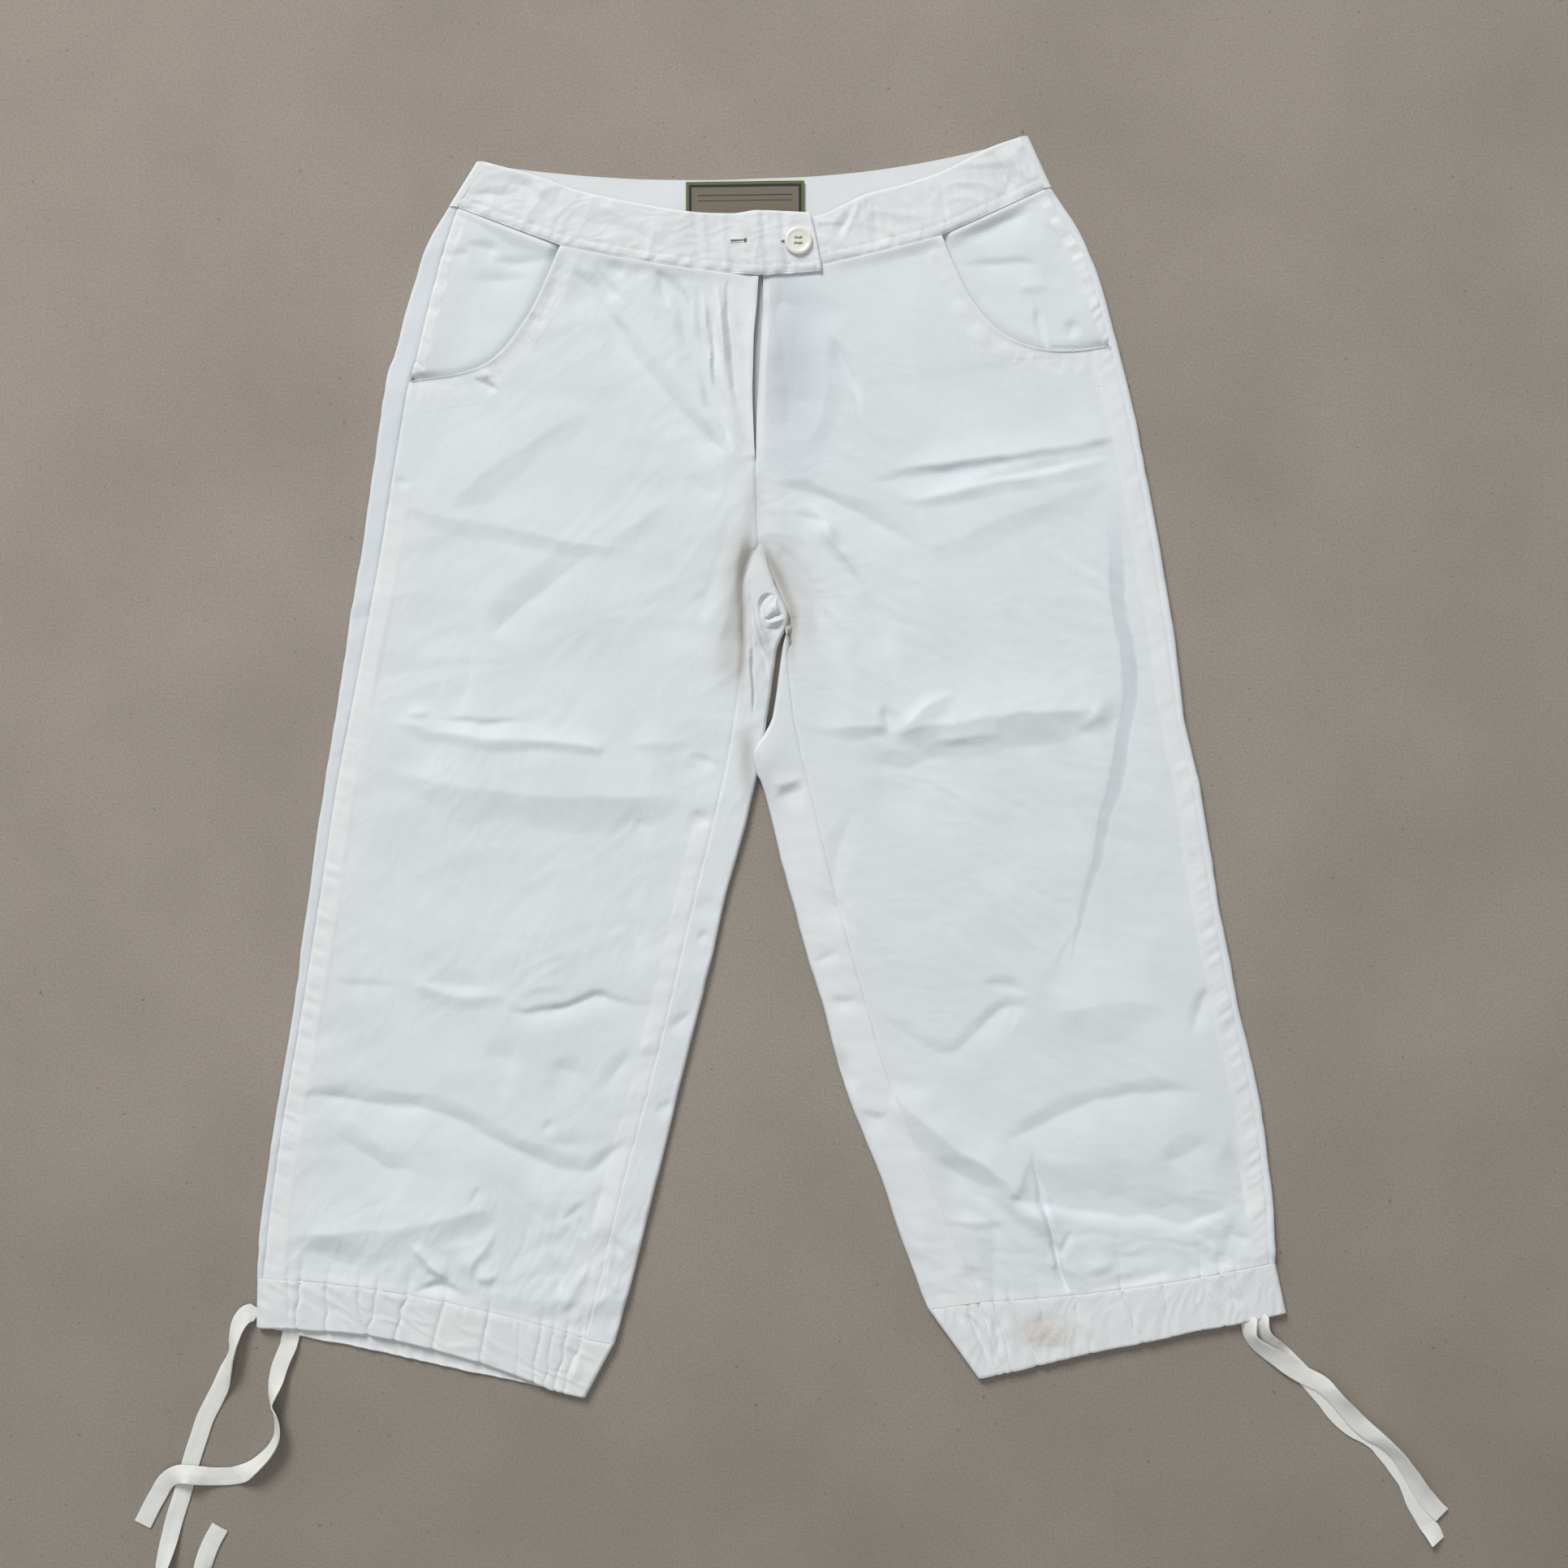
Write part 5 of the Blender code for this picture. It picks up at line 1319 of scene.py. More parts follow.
def back_skin(leg):
    """Skin of one back panel, rolled up round both folds, and its mark of ply and painted shade."""
    tail_cells = TAIL_CELLS if leg.side < 0 else FORK_CELLS
    at, rows = leg_rows(leg, BACK_ROWS, dense=FORK_ROWS if leg.side > 0 else (0, 0, 0))
    start, direction, along, height = tube_row_points(rows, PILE - 0.2, tail_cells)
    columns = along.shape[1]
    plan = start[:, None] + along[..., None] * direction[:, None]
    last = len(leg.rows) - 1
    bow = leg.bows.waist_back * fade(at, 0) + leg.bows.hem_back * fade(at, last)
    span = row_lines(rows)[2][:, None]
    flat_share = np.clip(along / span, 0.0, 1.0)
    first_floor = STRIP_CELLS + FOLD_CELLS
    on_floor = np.zeros(columns)
    on_floor[first_floor:first_floor + FLOOR_CELLS + 1] = 1.0
    plan[..., 1] -= sag(flat_share, bow[:, None]) * on_floor
    top = ease(height / (PILE - 0.2) * 1.6 - 0.6)
    run_down = run_along(start)[:, None]
    ends = ease(run_down / 9.0) * ease((run_down[-1] - run_down) / 7.0)
    height = height + top * cloth_height(plan, leg) * ends
    under = relief(plan, UNDERSIDE_CREASES) + 0.5 * np.abs(hills(plan, 40.0, leg.seed + 80))
    height = height + (1.0 - ease(height / 3.0)) * np.clip(under, 0.0, 1.6) * on_floor
    # the folds waver a little
    wave = 0.5 * ripple(run_down, 34.0, leg.seed + 9) + 0.25 * ripple(run_down, 9.0, leg.seed + 10)
    outer_side = ease(1.0 - along / 9.0)
    inner_side = ease((along - span + 9.0) / 9.0)
    plan = plan + (wave * (outer_side - inner_side))[..., None] * direction[:, None]
    seam_outer = np.abs(rows[:, 2:3] - along) + 40.0 * (np.arange(columns) > STRIP_CELLS)
    inseam = span - rows[:, 5:6]
    seam_inner = np.abs(along - inseam) + 40.0 * (np.arange(columns) < columns - tail_cells)
    height = height + groove(seam_outer) + groove(seam_inner)
    height = height + lift(plan, leg)
    y = plan[..., 1]
    if leg.side > 0:
        # the fork passes under the fronts where they meet, and stands up below
        far, up = plan[..., 0] + 3.0, y - 112.0
        swell = 0.45 * np.exp(-(far / 15.0) ** 2 - (up / 22.0) ** 2)
        swell = swell + 0.35 * np.exp(-((far + 2.0) / 14.0) ** 2 - ((y - 60.0) / 30.0) ** 2)
        swell = swell * (1.0 - bell(seam_inner, 3.4) * ease((y - 60.0) / 30.0))
        height = height * (1.0 + swell)
        hidden = ease((y - 128.0) / 20.0) * ease((along - span + 40.0) / 12.0)
        height = height + hidden * (np.minimum(height, 2.5) - height)
    ply_and_painted_shade = np.zeros_like(height)
    if leg.side < 0:
        # the inseam's allowance is pressed towards the back on this leg
        band = within(seam_inner, 27.0, 6.0) * ease((4.0 - y) / 10.0)
        ply_and_painted_shade = band * 0.6
        height = height + band * 0.3 * ripple(run_down, 9.0, 77)
    # painted shade: the left back's strip beyond the side seam and its outer fold turn a little blue grey
    strip = (np.arange(columns) <= STRIP_CELLS + FOLD_CELLS)[None] & (leg.side > 0)
    ply_and_painted_shade = ply_and_painted_shade - 0.22 * strip
    return np.dstack([plan, height]), ply_and_painted_shade


def facing_skin(leg):
    """Skin of the cloth inside the scooped pocket, and its mark of ply and painted shade."""
    count, columns = 84, 96
    at = np.linspace(0.0, POCKET_ROW, count + 1)
    rows = smooth(leg.rows, at)
    inner = smooth(leg.facing, at)
    start, direction, _ = row_lines(rows)
    seam = start + direction * (rows[:, 2:3] + GAP / 2.0)
    across = shares(columns)
    plan = seam[:, None] + across[None, :, None] * (inner - seam)[:, None]
    span = np.hypot(*(inner - seam).T)
    from_seam = across[None] * span[:, None]
    cover, _ = beside_pocket(plan, leg)
    under = inside_front(plan, leg)
    high = (PILE - 0.4 - INSIDE) * np.where(under, 0.0, ease((cover - 1.0) / 5.0))
    sink = ease(across / 0.5)[None]
    rise = relief(plan, leg.facing_creases) + 0.5 * hills(plan, 30.0, leg.seed + 90)
    rise += 0.25 * (0.5 - np.abs(hills(plan, 16.0, leg.seed + 91)))
    top = ease((at / 0.35))[:, None]
    ladder = within(from_seam, 7.5)
    rise = rise * (1.0 - 0.6 * ladder)
    rise = rise + ladder * 0.55 * ripple(at[:, None] * 24.0, 3.6, leg.seed + 92)
    # the cloth rises to the waistband's seam, and dips under the pocket's edge
    from_top = np.cumsum(np.concatenate([np.zeros((1, columns + 1)), np.hypot(*np.moveaxis(
        np.diff(plan, axis=0), -1, 0))]), axis=0)
    to_band = (PILE + 0.2 - INSIDE) * (1.0 - ease(from_top / 12.0))
    near = np.where(under, 1.0, bell(cover, 4.0))
    base = INSIDE + np.maximum(high * (1.0 - sink), to_band * (1.0 - near)) - 1.4 * near
    height = base + rise * top + groove(from_seam, 0.6)
    tuck = 1.0 - ease((from_top - 0.2) / 0.9)
    plan[..., 1] += TURNED * tuck
    height = height * (1.0 - tuck) + 3.9 * tuck
    height = np.where(under, np.minimum(height, 3.0), height)
    height = np.where(cover < 2.0, np.minimum(height, 3.4), height)
    # painted shade: a blue grey line along the pocket's edge, where the facing lies under the lip; the
    # ladder is the real seam allowance
    return np.dstack([plan, np.maximum(height, 1.7)]), ladder * 0.9 - bell(cover, 1.5)


def inside_front(plan, leg):
    """Whether plan points lie under the front panel, inside its pocket edge."""
    line = pocket_line(leg)
    order = np.argsort(-line[:, 1])
    edge = np.interp(-plan[..., 1], -line[order, 1], line[order, 0])
    return leg.side * (plan[..., 0] - edge) > 0


# ---- bands and casings


def waist_seam(leg):
    """Waist seam of one front, from the side seam over the pocket to the fly."""
    row = leg.rows[0]
    pocket, centre = np.array(leg.pocket[0], float), np.array(leg.centre[0], float)
    side = np.array((row.side_x, row.side_y), float)
    over_pocket = side + np.outer(shares(4)[:-1], pocket - side)
    share = shares(8)
    over_front = pocket + np.outer(share, centre - pocket)
    over_front[:, 1] -= sag(share, leg.bows.waist_front)
    return np.vstack([over_pocket, over_front])


BAND_COLUMNS = 300
BAND_ROWS = 38


def rounded(distance, radius):
    """Drop of a folded edge at distances from it: a quarter circle."""
    near = np.clip(1.0 - distance / radius, 0.0, 1.0)
    return -radius * (1.0 - np.sqrt(1.0 - near * near))


def front_band_skin(leg, top_edge, creases, tab=()):
    """Skin of one front of the waistband, with the tab if it has one, and how
    far its points are from the waist seam."""
    lower = waist_seam(leg) + np.array((0.0, GAP))
    if tab:
        lower = np.vstack([lower, np.array(tab, float)])
    upper = through(top_edge, 60)
    lower = even_points(lower, BAND_COLUMNS + 1)
    upper = even_points(upper, BAND_COLUMNS + 1)
    share = shares(BAND_ROWS)[:, None, None]
    plan = upper[None] * (1.0 - share) + lower[None] * share
    if tab:
        bulge = ease((plan[..., 0] - 20.0) / 12.0) * 1.6
        plan[..., 0] += bulge * 4.0 * share[..., 0] * (1.0 - share[..., 0]) * 0.5
    depth = np.hypot(*(upper - lower).T)[None]
    from_top = share[..., 0] * depth
    from_seam = (1.0 - share[..., 0]) * depth
    run = run_along(lower)[None]
    from_end = run[0, -1] - run
    rise = 1.4 * relief(plan, creases) + 0.5 * hills(plan, 30.0, leg.seed + 30)
    rise += 0.42 * crumple(plan, 19.0, leg.seed + 31) + 0.2 * crumple(plan, 8.0, leg.seed + 32)
    rise += 0.4 * ripple(run, 4.4, leg.seed + 33) * bell(from_seam - 4.0, 4.0)
    x = plan[..., 0]
    if tab:
        # crosswise puckers where the tab is pulled over the other end
        slant = x + 0.10 * (plan[..., 1] - 358.0)
        pull = ease((x + 66.0) / 10.0)
        at_button = np.hypot(x - BUTTON_CENTRE[0], plan[..., 1] - BUTTON_CENTRE[1])
        pull = pull * (1.0 - np.exp(-(at_button / 11.0) ** 4))
        slit_x, slit_y = x + 24.0, plan[..., 1] - BUTTONHOLES[0].y
        pull = pull * (1.0 - np.exp(-(slit_x / 8.0) ** 4 - (slit_y / 2.5) ** 2))
        rise += pull * 1.2 * ripple(slant, 4.6, 41) * (0.6 + 0.4 * ripple(plan[..., 1], 12.0, 42))
    edge = ease(from_top / 3.0)
    channel = -0.3 * bell(from_seam - 7.3, 1.0)
    height = BAND_PILE + rise * (0.35 + 0.65 * edge) * ease(from_seam / 2.0) + channel
    height += rounded(from_top, 0.9) - 0.6 * bell(from_seam, 1.8)
    if tab:
        ramp = ease((x - TAB_RAMP[0]) / (TAB_RAMP[1] - TAB_RAMP[0]))
        height += TAB_LIFT * ramp
        height += rounded(from_end, 1.0)
        height += 0.5 * bell(from_end, 3.0) - 0.4 * bell(from_end - 3.6, 0.9)
    else:
        height = np.where(x < 31.0, np.minimum(height, BAND_PILE + 0.15), height)
    return np.dstack([plan, height]), from_seam


def back_band_skin():
    """Skin of the back of the waistband, rolled up at both sides."""
    count = 36
    part = shares(count)[:, None]
    halves = []
    for leg, end, bow in zip((LEFT, RIGHT), BACK_BAND_ENDS, BACK_BAND_BOWS):
        lower = np.array(leg.rows[0]._replace(inner_x=-8, fork=0, curl=0), float)
        lower[[1, 4]] += GAP
        rows = lower * part + np.array(end, float) * (1.0 - part)
        start, direction, along, height = tube_row_points(rows, BAND_PILE, 0)
        plan = start[:, None] + along[..., None] * direction[:, None]
        sink = leg.bows.waist_back * part + bow * (1.0 - part)
        share = np.clip(along / row_lines(rows)[2][:, None], 0.0, 1.0)
        flat = np.arange(along.shape[1]) >= STRIP_CELLS + FOLD_CELLS
        plan[..., 1] -= sag(share, sink) * flat
        halves.append((plan, height))
    (left, left_height), (right, right_height) = halves
    join = (left[:, -1:] + right[:, -1:]) / 2.0
    plan = np.concatenate([left[:, :-1], join, right[:, :-1][:, ::-1]], axis=1)
    height = np.concatenate([left_height[:, :-1], np.zeros((count + 1, 1)),
        right_height[:, :-1][:, ::-1]], axis=1)
    low = 1.0 - ease(height / 2.0)
    height = height + low * (0.2 + 0.5 * hills(plan, 30.0, 51) ** 2 + 0.2 * hills(plan, 9.0, 52) ** 2)
    height = height + 0.4 * hills(plan, 20.0, 53) * ease(height / 4.0 - 0.3)
    return np.dstack([plan, height])


CASING_COLUMNS = 640
CASING_ROWS = 38


def gather_folds(along, down, leg):
    """Depth of the casing's gathers, at runs from the outer fold and shares of
    the way from the stitch line to the hem."""
    depth = np.zeros_like(along + down)
    for gather in leg.gathers:
        middle = gather.top * (1.0 - down) + gather.hem * down
        middle = middle + 1.2 * ripple(down * 40.0 + gather.top, 9.0, leg.seed)
        depth += gather.depth * np.exp(-(np.abs(along - middle) / gather.width / 0.6) ** 1.2)
    return depth


def casing_skin(leg):
    """Skin of one hem casing: a flattened ring, gathered along its front.

    The ring's section is two straight runs joined by two half circles, read
    at even distances round it.  Gathers are narrow troughs that slant from
    the stitch line to the hem.
    """
    part = shares(CASING_ROWS)
    top = np.array(leg.rows[-1], float)
    hem = np.array(leg.hem_row, float)
    share = GAP / np.hypot(*(hem - top)[0:2])
    top = top * (1.0 - share) + hem * share
    rows = top * (1.0 - part[:, None]) + hem * part[:, None]
    start, direction, width = row_lines(rows)
    centre = BAND_PILE / 2.0
    straight = width[:, None] - 2.0 * centre
    perimeter = 2.0 * straight + 2.0 * pi * centre
    run = np.arange(CASING_COLUMNS)[None] / CASING_COLUMNS * perimeter
    bend = pi * centre
    inner = (run - straight) / centre
    outer = (run - 2.0 * straight - bend) / centre
    where = [run < straight, run < straight + bend, run < 2.0 * straight + bend]
    along = np.select(where, [centre + run, width[:, None] - centre + centre * np.sin(inner),
        width[:, None] - centre - (run - straight - bend)], centre - centre * np.sin(outer))
    height = np.select(where, [2.0 * centre, centre + centre * np.cos(inner), 0.0],
        centre - centre * np.cos(outer))
    plan = start[:, None] + along[..., None] * direction[:, None]
    span = width[:, None] - rows[:, 5:6] - rows[:, 2:3]
    front_share = np.clip((along - rows[:, 2:3]) / span, 0.0, 1.0)
    back_share = np.clip(along / width[:, None], 0.0, 1.0)
    upper = ease(height / centre - 0.5)
    front_bow = leg.bows.hem_front * (1.0 - part) + leg.hem_front * part
    back_bow = leg.bows.hem_back * (1.0 - part) + leg.hem_back * part
    plan[..., 1] -= sag(front_share, front_bow[:, None]) * upper
    plan[..., 1] -= sag(back_share, back_bow[:, None]) * (1.0 - upper)
    down = part[:, None]
    fold_depth = gather_folds(along, down, leg)
    swell = 0.6 * ripple(along, 13.0, leg.seed + 13) + 0.3 * hills(plan, 15.0, leg.seed + 14)
    swell = swell + 0.28 * crumple(plan, 10.0, leg.seed + 18)
    tiny = 0.3 * ripple(along + 2.0 * down, 3.2, leg.seed + 15) * bell(down * 40.0, 7.0)
    top_rise = swell + tiny - 0.8 * fold_depth * (1.0 - 0.25 * down)
    knot = relief(plan, HEM_CREASES)
    under = 1.5 * np.clip(ripple(along, 5.0, leg.seed + 16), 0.0, 1.0) * (1.0 - 0.3 * down)
    height = height + upper * (top_rise + knot)
    height = height + (1.0 - ease(height / 2.0)) * under
    depth = np.hypot(*(leg_hem_depth(rows)))
    from_seam, from_hem = down * depth, (1.0 - down) * depth
    middle = BAND_PILE / 2.0
    tuck = rounded(from_hem, 1.0) - 0.5 * bell(from_seam, 1.6)
    height = height + tuck * np.sign(height - middle) * np.abs(height - middle) / middle
    plan[..., 1] += (0.3 * fold_depth * upper + 0.7 * ripple(along, 21.0, leg.seed + 19)) * down ** 2
    ply_and_painted_shade = np.where(upper > 0.5, 0.75 - 0.25 * hills(plan, 30.0, leg.seed + 17), 0.7)
    return np.dstack([plan, np.maximum(height, 0.05)]), ply_and_painted_shade


def leg_hem_depth(rows):
    """Mean run in x and y from the first row to the last, at both ends."""
    return ((rows[-1, 0:2] - rows[0, 0:2]) + (rows[-1, 3:5] - rows[0, 3:5])) / 2.0


HEM_CREASES = crease_table(
    (1.8, 2.5, 3, (124, -376), (132, -384), (139, -396), (146, -410)),
    (-2.2, 2, 2.5, (129, -372), (138, -382), (145, -396), (150, -410)),
    (1.6, 2.5, 2.5, (140, -374), (146, -386), (152, -402)),
    (-1.8, 2, 2, (150, -372), (154, -386), (157, -402)),
    (1.3, 3, 2.5, (157, -374), (163, -388), (168, -404)),
    (-1.2, 5, 4, (170, -382), (186, -378), (200, -376)),
    (-1.3, 4, 5, (168, -392), (188, -396), (204, -394)),
    (1.2, 3, 3, (205, -372), (214, -382), (218, -394)),
    (1.2, 2.5, 3, (290, -350), (300, -362), (306, -374)),
    (-1.2, 2.5, 2.5, (304, -350), (312, -360), (322, -364)),
    (-1.6, 3, 3, (-140, -392), (-136, -404), (-140, -418)),
    (1.3, 3, 3, (-130, -398), (-134, -412), (-138, -422)),
)


def tape_skin(route):
    """Skin and centreline of a drawstring end: a strip carried along its route
    and rolled about it, and bunched where it comes out of the casing."""
    table = through(route, 12 * (len(route) - 1) + 1)
    path = spaced(table, TAPE_STEP)
    if len(path) % 2 == 0:
        path = spaced(table, np.hypot(*np.diff(table[:, 0:2], axis=0).T).sum() / len(path))
    if len(path) % 2 == 0:
        path = path[:-1]
    tangent = np.gradient(path[:, 0:2], axis=0)
    tangent /= np.hypot(*tangent.T)[:, None]
    sideways = np.column_stack([-tangent[:, 1], tangent[:, 0]])
    roll = np.radians(path[:, 2])
    thin = TAPE_THICK / 2.0
    run = np.arange(len(path)) * TAPE_STEP
    half = TAPE_WIDTH / 2.0 * (TAPE_BUNCH + (1.0 - TAPE_BUNCH) * ease((run - 2.0) / 12.0))
    middle = half * np.abs(np.sin(roll)) + thin * np.cos(roll) + np.maximum(path[:, 3], 0.0)
    centre = np.column_stack([path[:, 0:2], middle])
    across = np.column_stack([sideways * np.cos(roll)[:, None], np.sin(roll)])
    upward = np.column_stack([-sideways * np.sin(roll)[:, None], np.cos(roll)])
    place = np.linspace(-1.0, 1.0, 15)
    edge = 1.0 - 0.5 * np.abs(place) ** 8
    cup = 0.35 * ripple(run, 14.0, 61)[:, None] * (place ** 2 - 0.4)[None]
    skin = (centre[:, None] - across[:, None] * (half[:, None] * place)[..., None]
            + upward[:, None] * (thin * edge[None, :, None] + np.clip(cup, -0.1, 0.4)[..., None]))
    return skin, centre


# ---- operators


def cotton():
    """The single cloth's material, made once."""
    return bpy.data.materials.get("woven_cotton_single") or woven_cotton(
        "woven_cotton_single", settings().cotton_color, settings().layered_color)


def doubled_cotton():
    """The material of the band and casings, made once."""
    return bpy.data.materials.get("woven_cotton_doubled") or woven_cotton(
        "woven_cotton_doubled", linear("dde1e4"), linear("e6e8e7"),
        ((0.186, -0.386, 0.0), (0.024, 0.015, 0.05), "c0a892", 1.0))


def thread():
    """The sewing thread's material, made once."""
    return bpy.data.materials.get("spun_sewing_thread") or spun_thread(
        "spun_sewing_thread", linear("e9e8e2"))


class CAPRI_OT_stage(bpy.types.Operator):
    """Lay the floor and set the soft studio light and the camera"""

    bl_idname = "capri.stage"
    bl_label = "Stage"

    def execute(self, context):
        """Floor, world, two broad area lights and a camera straight above."""
        mesh = bpy.data.meshes.new("floor")
        half = 6.0
        mesh.from_pydata([(-half, -half, 0), (half, -half, 0), (half, half, 0), (-half, half, 0)], [],
            [(0, 1, 2, 3)])
        mesh.materials.append(painted_floor("painted_floor", settings().floor_color))
        floor = into_scene("floor", mesh, (0.0, 0.0, -0.0006))
        world = bpy.data.worlds.new("soft_studio")
        world.use_nodes = True
        fill(world.node_tree.nodes["Background"], {"Color": (0.95, 0.975, 1.0), "Strength": 0.27})
        context.scene.world = world
        for name, place, aim, size, power, tint in (
                ("window", (-1.95, 4.2, 3.5), (0.0, 0.0, 0.0), 2.0, 284.0, (1.0, 0.995, 0.985)),
                ("ceiling", (0.3, -1.0, 2.4), (0.0, -0.2, 0.0), 2.4, 13.0, (0.985, 0.995, 1.0))):
            data = bpy.data.lights.new(name, "AREA")
            data.shape, data.size, data.energy, data.color = "SQUARE", size, power, tint
            light = into_scene(name, data, place)
            way = Vector(aim) - Vector(place)
            light.rotation_euler = way.to_track_quat("-Z", "Y").to_euler()
        data = bpy.data.cameras.new("camera")
        data.lens, data.sensor_width = 38.96, 36.0
        context.scene.camera = into_scene("camera", data, (0.0081, -0.0111, 1.165))
        context.scene.view_settings.view_transform = "Standard"
        return {"FINISHED"}


class CAPRI_OT_drawstrings(bpy.types.Operator):
    """Lay the four free ends of the drawstrings"""

    bl_idname = "capri.drawstrings"
    bl_label = "Drawstrings"

    def execute(self, context):
        """One tape for each end."""
        material = herringbone_tape("herringbone_cotton_tape", settings().tape_color)
        for name, route, length in (
                ("left_long", LEFT_LONG_TAPE, 0.296), ("left_short", LEFT_SHORT_TAPE, 0.209),
                ("right_upper", RIGHT_UPPER_TAPE, 0.199), ("right_lower", RIGHT_LOWER_TAPE, 0.206)):
            skin, centre = tape_skin(route)
            tape = shell("tape_" + name, skin, TAPE_THICK, material)
            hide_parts("drawstring_" + name)
        return {"FINISHED"}


class CAPRI_OT_legs(bpy.types.Operator):
    """Build the front and back panels of both legs"""

    bl_idname = "capri.legs"
    bl_label = "Legs"

    def execute(self, context):
        """Backs first, then the creased fronts and their topstitching."""
        lines = []
        for side, leg in LEGS:
            skin, ply_and_painted_shade = back_skin(leg)
            back = shell("leg_back_" + side, skin, SINGLE, cotton(), ply_and_painted_shade, shaded_and_soiled=True)
            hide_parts("back_" + side)
            skin, ply_and_painted_shade = front_skin(leg)
            front = shell("leg_front_" + side, skin, SINGLE, cotton(), ply_and_painted_shade, shaded_and_soiled=True)
            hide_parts("front_" + side)
            lines += front_stitch_lines(leg, skin)
        sew("panel_topstitching", lines, thread(), thick=0.32)
        return {"FINISHED"}


def front_stitch_lines(leg, skin):
    """Topstitching of one front: the pocket bag's outline, and the fly's J on
    the left."""
    curves = (FLY_STITCH, LEFT_BAG) if leg.side > 0 else (RIGHT_BAG,)
    return [laid_on(skin, spaced(through(curve, 60), 3.0)) for curve in curves]


class CAPRI_OT_pockets(bpy.types.Operator):
    """Build the pocket facings and the fly's underlap"""

    bl_idname = "capri.pockets"
    bl_label = "Pockets"

    def execute(self, context):
        """Facings under both scooped edges, and the cloth behind the fly."""
        for side, leg in LEGS:
            skin, ply_and_painted_shade = facing_skin(leg)
            facing = shell("pocket_facing_cloth_" + side, skin, SINGLE, cotton(), ply_and_painted_shade)
            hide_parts("pocket_facing_" + side)
        skin = four_sided_skin(UNDERLAP_EDGES, 2.0, 24, 60)
        skin[..., 2] += 0.2 * hills(skin[..., 0:2], 14.0, 71)
        # painted shade: the underlap is all blue grey and carries the shade marks, as the shade in the
        # fly's slit
        underlap = shell("fly_underlap_cloth", skin, SINGLE, cotton(),
            np.full(skin.shape[:2], -1.0), shaded_and_soiled=True)
        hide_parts("fly_underlap")
        return {"FINISHED"}


def four_sided_skin(corners, height, columns, rows):
    """A flat four-cornered grid of points at one height."""
    top_left, top_right, low_right, low_left = (np.array(corner, float) for corner in corners)
    share = shares(columns)[:, None]
    down = shares(rows)[:, None, None]
    upper = top_left + share * (top_right - top_left)
    lower = low_left + share * (low_right - low_left)
    plan = upper * (1.0 - down) + lower * down
    return np.dstack([plan, np.full(plan.shape[:2], float(height))])


class CAPRI_OT_waistband(bpy.types.Operator):
    """Build the waistband with its tab and topstitching"""

    bl_idname = "capri.waistband"
    bl_label = "Waistband"

    def execute(self, context):
        """Back band on the floor, then both front halves."""
        skin = back_band_skin()
        back = shell("waistband_cloth_back", skin, DOUBLE, doubled_cotton(),
            np.full(skin.shape[:2], 0.5))
        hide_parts("waistband_back")
        lines = []
        for side, leg, top, creases, tab in (
                ("left", LEFT, LEFT_BAND_TOP, LEFT_BAND_CREASES, TAB_LOWER),
                ("right", RIGHT, RIGHT_BAND_TOP, RIGHT_BAND_CREASES, ())):
            skin, from_seam = front_band_skin(leg, top, creases, tab)
            ply_and_painted_shade = 0.55 + 0.3 * hills(skin[..., 0:2], 24.0, leg.seed + 35)
            band = shell("waistband_cloth_" + side, skin, DOUBLE, doubled_cotton(), ply_and_painted_shade)
            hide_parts("waistband_front_" + side)
            columns = np.linspace(2.0, BAND_COLUMNS - 4.0, 400)
            depth = from_seam[0][columns.astype(int)]
            lines.append(on_grid(skin, BAND_ROWS * (1.0 - 7.3 / depth), columns))
            lines.append(on_grid(skin, BAND_ROWS * (1.0 - 1.6 / depth), columns))
        sew("waistband_topstitching", lines, thread(), thick=0.36)
        return {"FINISHED"}


class CAPRI_OT_label(bpy.types.Operator):
    """Lay the woven label on the inside of the back band"""

    bl_idname = "capri.label"
    bl_label = "Label"

    def execute(self, context):
        """A bordered label with no lettering."""
        skin = four_sided_skin(LABEL_CORNERS, 3.4, 80, 34)
        skin[..., 2] += 0.25 * hills(skin[..., 0:2], 18.0, 81)
        label = shell("woven_label_tape", skin, 0.5, woven_label("woven_damask_label"))
        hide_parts("label")
        return {"FINISHED"}


class CAPRI_OT_hem_casings(bpy.types.Operator):
    """Build the gathered hem casings with their stitch lines"""

    bl_idname = "capri.hem_casings"
    bl_label = "Hem Casings"

    def execute(self, context):
        """A ring for each hem, and one row of stitches round the front."""
        lines = []
        for side, leg in LEGS:
            skin, ply_and_painted_shade = casing_skin(leg)
            casing = shell("hem_casing_cloth_" + side, skin, DOUBLE, doubled_cotton(),
                ply_and_painted_shade, ring=True)
            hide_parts("hem_casing_" + side)
            columns = np.linspace(0.0, CASING_COLUMNS * 0.49, 300)
            lines.append(on_grid(skin, np.full(300, 1.6), columns))
        sew("hem_topstitching", lines, thread(), thick=0.36)
        return {"FINISHED"}


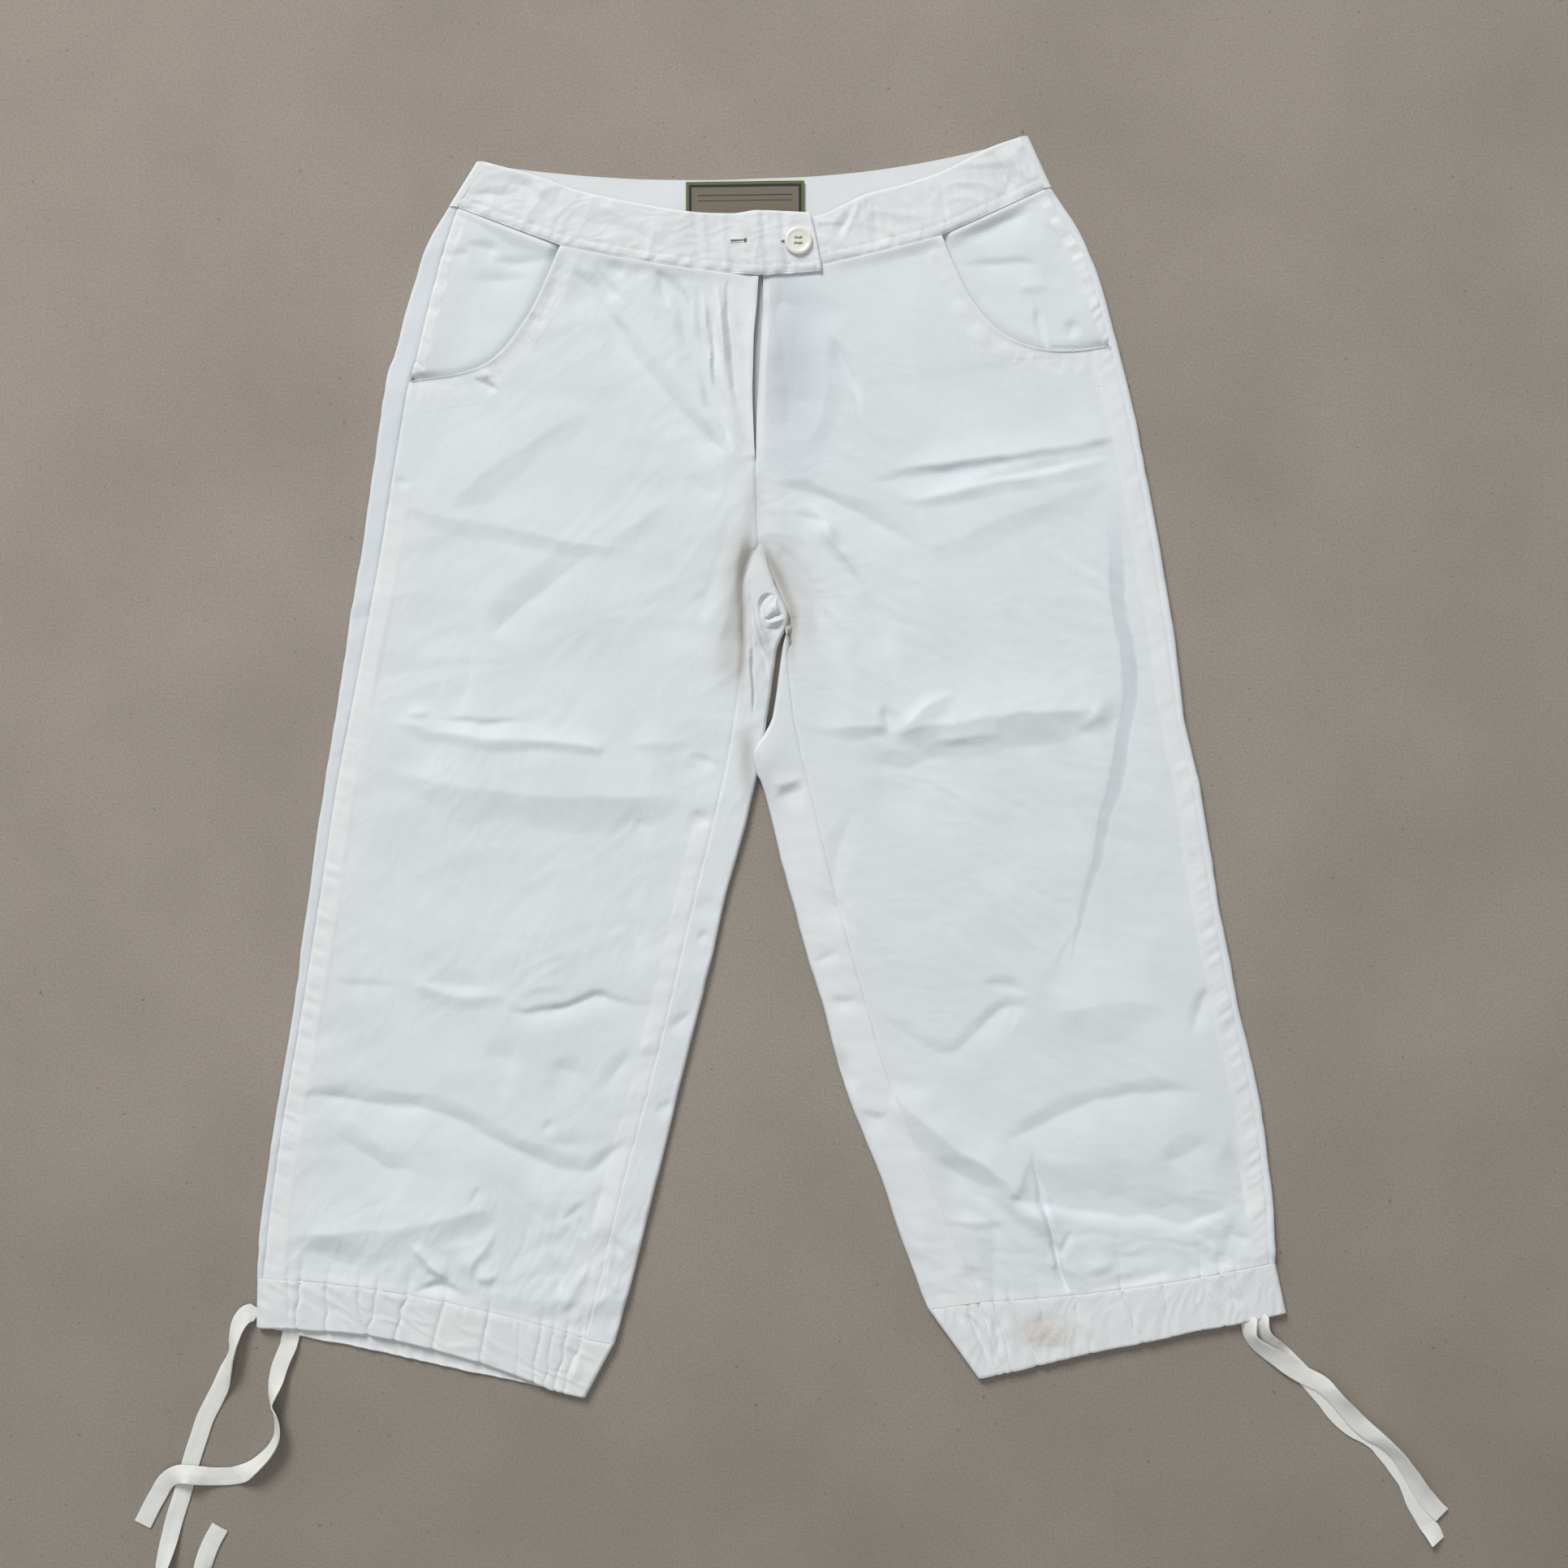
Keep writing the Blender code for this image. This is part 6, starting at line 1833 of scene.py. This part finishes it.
class CAPRI_OT_button(bpy.types.Operator):
    """Turn the button, sew it on and work both buttonholes"""

    bl_idname = "capri.button"
    bl_label = "Button"

    def execute(self, context):
        """Button, its crossed threads, and the worked edges of two holes."""
        points, faces = button_mesh()
        button = put("four_hole_button", points, faces, pressed_resin("pressed_ivory_resin"))
        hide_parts("button")
        x, y = BUTTON_CENTRE
        top = BUTTON_FLOOR + BUTTON_THICK - BUTTON_DISH + 0.25
        bars = []
        for off in (-0.42, -0.14, 0.14, 0.42):
            for level in (y + BUTTON_HOLE + off, y - BUTTON_HOLE + off):
                bars.append([(x - 2.3, level, top), (x + 2.3, level, top)])
        sew("button_thread", bars, spun_thread("button_thread_tan", linear("a89c88")),
            length=3.9, thick=0.34, sink=1.6)
        band, _ = front_band_skin(LEFT, LEFT_BAND_TOP, LEFT_BAND_CREASES, TAB_LOWER)
        lines, slits = [], []
        for left, right, y, eye in BUTTONHOLES:
            for x in np.arange(left, right, 0.42):
                for way in (-1.0, 1.0):
                    bar = np.array([(x, y + 0.4 * way), (x, y + 1.5 * way)])
                    lines.append(laid_on(band, bar) + (0.0, 0.0, 0.15))
            for x, long, wide in (((left + right) / 2.0, (right - left) / 2.0, 0.42), (right + 0.8, *eye)):
                height = laid_on(band, np.array([(x, y)]))[0, 2]
                slits.append((x, y, long, wide, height - 0.4))
        sew("buttonhole_thread", lines, thread(), length=1.2, thick=0.42)
        # painted shade: dark plugs stand for the shade in each slit and eye
        points, faces = slit_mesh(slits)
        put("buttonhole_slits", points, faces, spun_thread("buttonhole_shade", linear("6f6557")))
        return {"FINISHED"}


def slit_mesh(slits):
    """Thin dark oval plugs (x, y, half length, half width, height) that close the
    buttonholes as painted shade inside them: two rings of HOLE_SIDES points with a face over each."""
    turn = np.linspace(0.0, 2.0 * pi, HOLE_SIDES + 1)[:-1]
    low = np.arange(HOLE_SIDES)
    points, faces = [], []
    for x, y, long, wide, height in slits:
        first = len(points) + low
        for level in (height, height + 0.7):
            points += np.column_stack([x + long * np.cos(turn), y + wide * np.sin(turn),
                np.full(HOLE_SIDES, level)]).tolist()
        walls = np.stack([first, np.roll(first, -1), np.roll(first, -1) + HOLE_SIDES,
            first + HOLE_SIDES], axis=1)
        faces += walls.tolist() + [(first + HOLE_SIDES).tolist(), first[::-1].tolist()]
    return points, faces


def button_mesh():
    """Button as a function of radius and angle, closed at both poles.

    The top is a dish inside a round rim, with four pits where the thread
    goes through, and the underside is flat.
    """
    turn = np.arange(BUTTON_SIDES) * 2.0 * pi / BUTTON_SIDES
    top = BUTTON_THICK
    dish = [(radius, top - BUTTON_DISH) for radius in (*np.linspace(0.25, 3.75, 11), 4.2)]
    outline = np.array((
        *dish, (5.0, top - 0.58), (5.8, top - 0.52), (6.5, top - 0.36), (7.0, top - 0.16),
        (7.4, top - 0.04), (7.8, top), (8.2, top - 0.02), (8.7, top - 0.12), (9.1, top - 0.35),
        (9.4, top - 0.75), (9.5, top - 1.2), (9.45, top - 1.7), (9.2, top - 2.2),
        (8.6, 0.05), (7.5, 0.0), (4.0, 0.0), (0.5, 0.0)))
    radius, height = outline[:, 0:1], outline[:, 1:2]
    x = radius * np.cos(turn)[None]
    y = radius * np.sin(turn)[None]
    z = np.broadcast_to(height, x.shape)
    pitted = (np.arange(len(outline)) < len(dish))[:, None]
    for across in (-1, 1):
        for up in (-1, 1):
            off = np.hypot(x - across * BUTTON_HOLE, y - up * BUTTON_HOLE)
            z = np.where(pitted, z - 1.5 * within(off, 0.85, 0.5), z)
    rings = len(outline)
    points = np.stack([x + BUTTON_CENTRE[0], y + BUTTON_CENTRE[1], z + BUTTON_FLOOR],
        axis=-1).reshape(-1, 3)
    base = np.arange(rings * BUTTON_SIDES).reshape(rings, BUTTON_SIDES)
    nxt = np.roll(base, -1, axis=1)
    faces = np.stack([base[:-1], base[1:], nxt[1:], nxt[:-1]], axis=-1).reshape(-1, 4).tolist()
    faces.append(base[0].tolist())
    faces.append(base[-1][::-1].tolist())
    return points, faces


OPERATORS = (CAPRI_OT_stage, CAPRI_OT_drawstrings, CAPRI_OT_legs, CAPRI_OT_pockets, CAPRI_OT_waistband,
    CAPRI_OT_label, CAPRI_OT_hem_casings, CAPRI_OT_button)


class CAPRI_PT_pieces(bpy.types.Panel):
    """Lists the pieces of the pants"""

    bl_idname = "CAPRI_PT_pieces"
    bl_label = "Capri Pants"
    bl_space_type = "VIEW_3D"
    bl_region_type = "UI"
    bl_category = "Pants"

    def draw(self, context):
        """A button for each operator, under the settings."""
        for name in settings().bl_rna.properties.keys():
            if name not in ("rna_type", "name"):
                self.layout.prop(settings(), name)
        for operator in OPERATORS:
            self.layout.operator(operator.bl_idname)


CLASSES = (PantsSettings, *OPERATORS, CAPRI_PT_pieces)


def register():
    """Register the classes and hang the settings on the scene."""
    for item in CLASSES:
        bpy.utils.register_class(item)
    bpy.types.Scene.capri_pants = bpy.props.PointerProperty(type=PantsSettings)


def unregister():
    """Undo register()."""
    del bpy.types.Scene.capri_pants
    for item in reversed(CLASSES):
        bpy.utils.unregister_class(item)


def main():
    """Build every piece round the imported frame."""
    register()
    bpy.ops.capri.stage()
    bpy.ops.capri.drawstrings()
    bpy.ops.capri.legs()
    bpy.ops.capri.pockets()
    bpy.ops.capri.waistband()
    bpy.ops.capri.label()
    bpy.ops.capri.hem_casings()
    bpy.ops.capri.button()


if __name__ == "__main__":
    main()
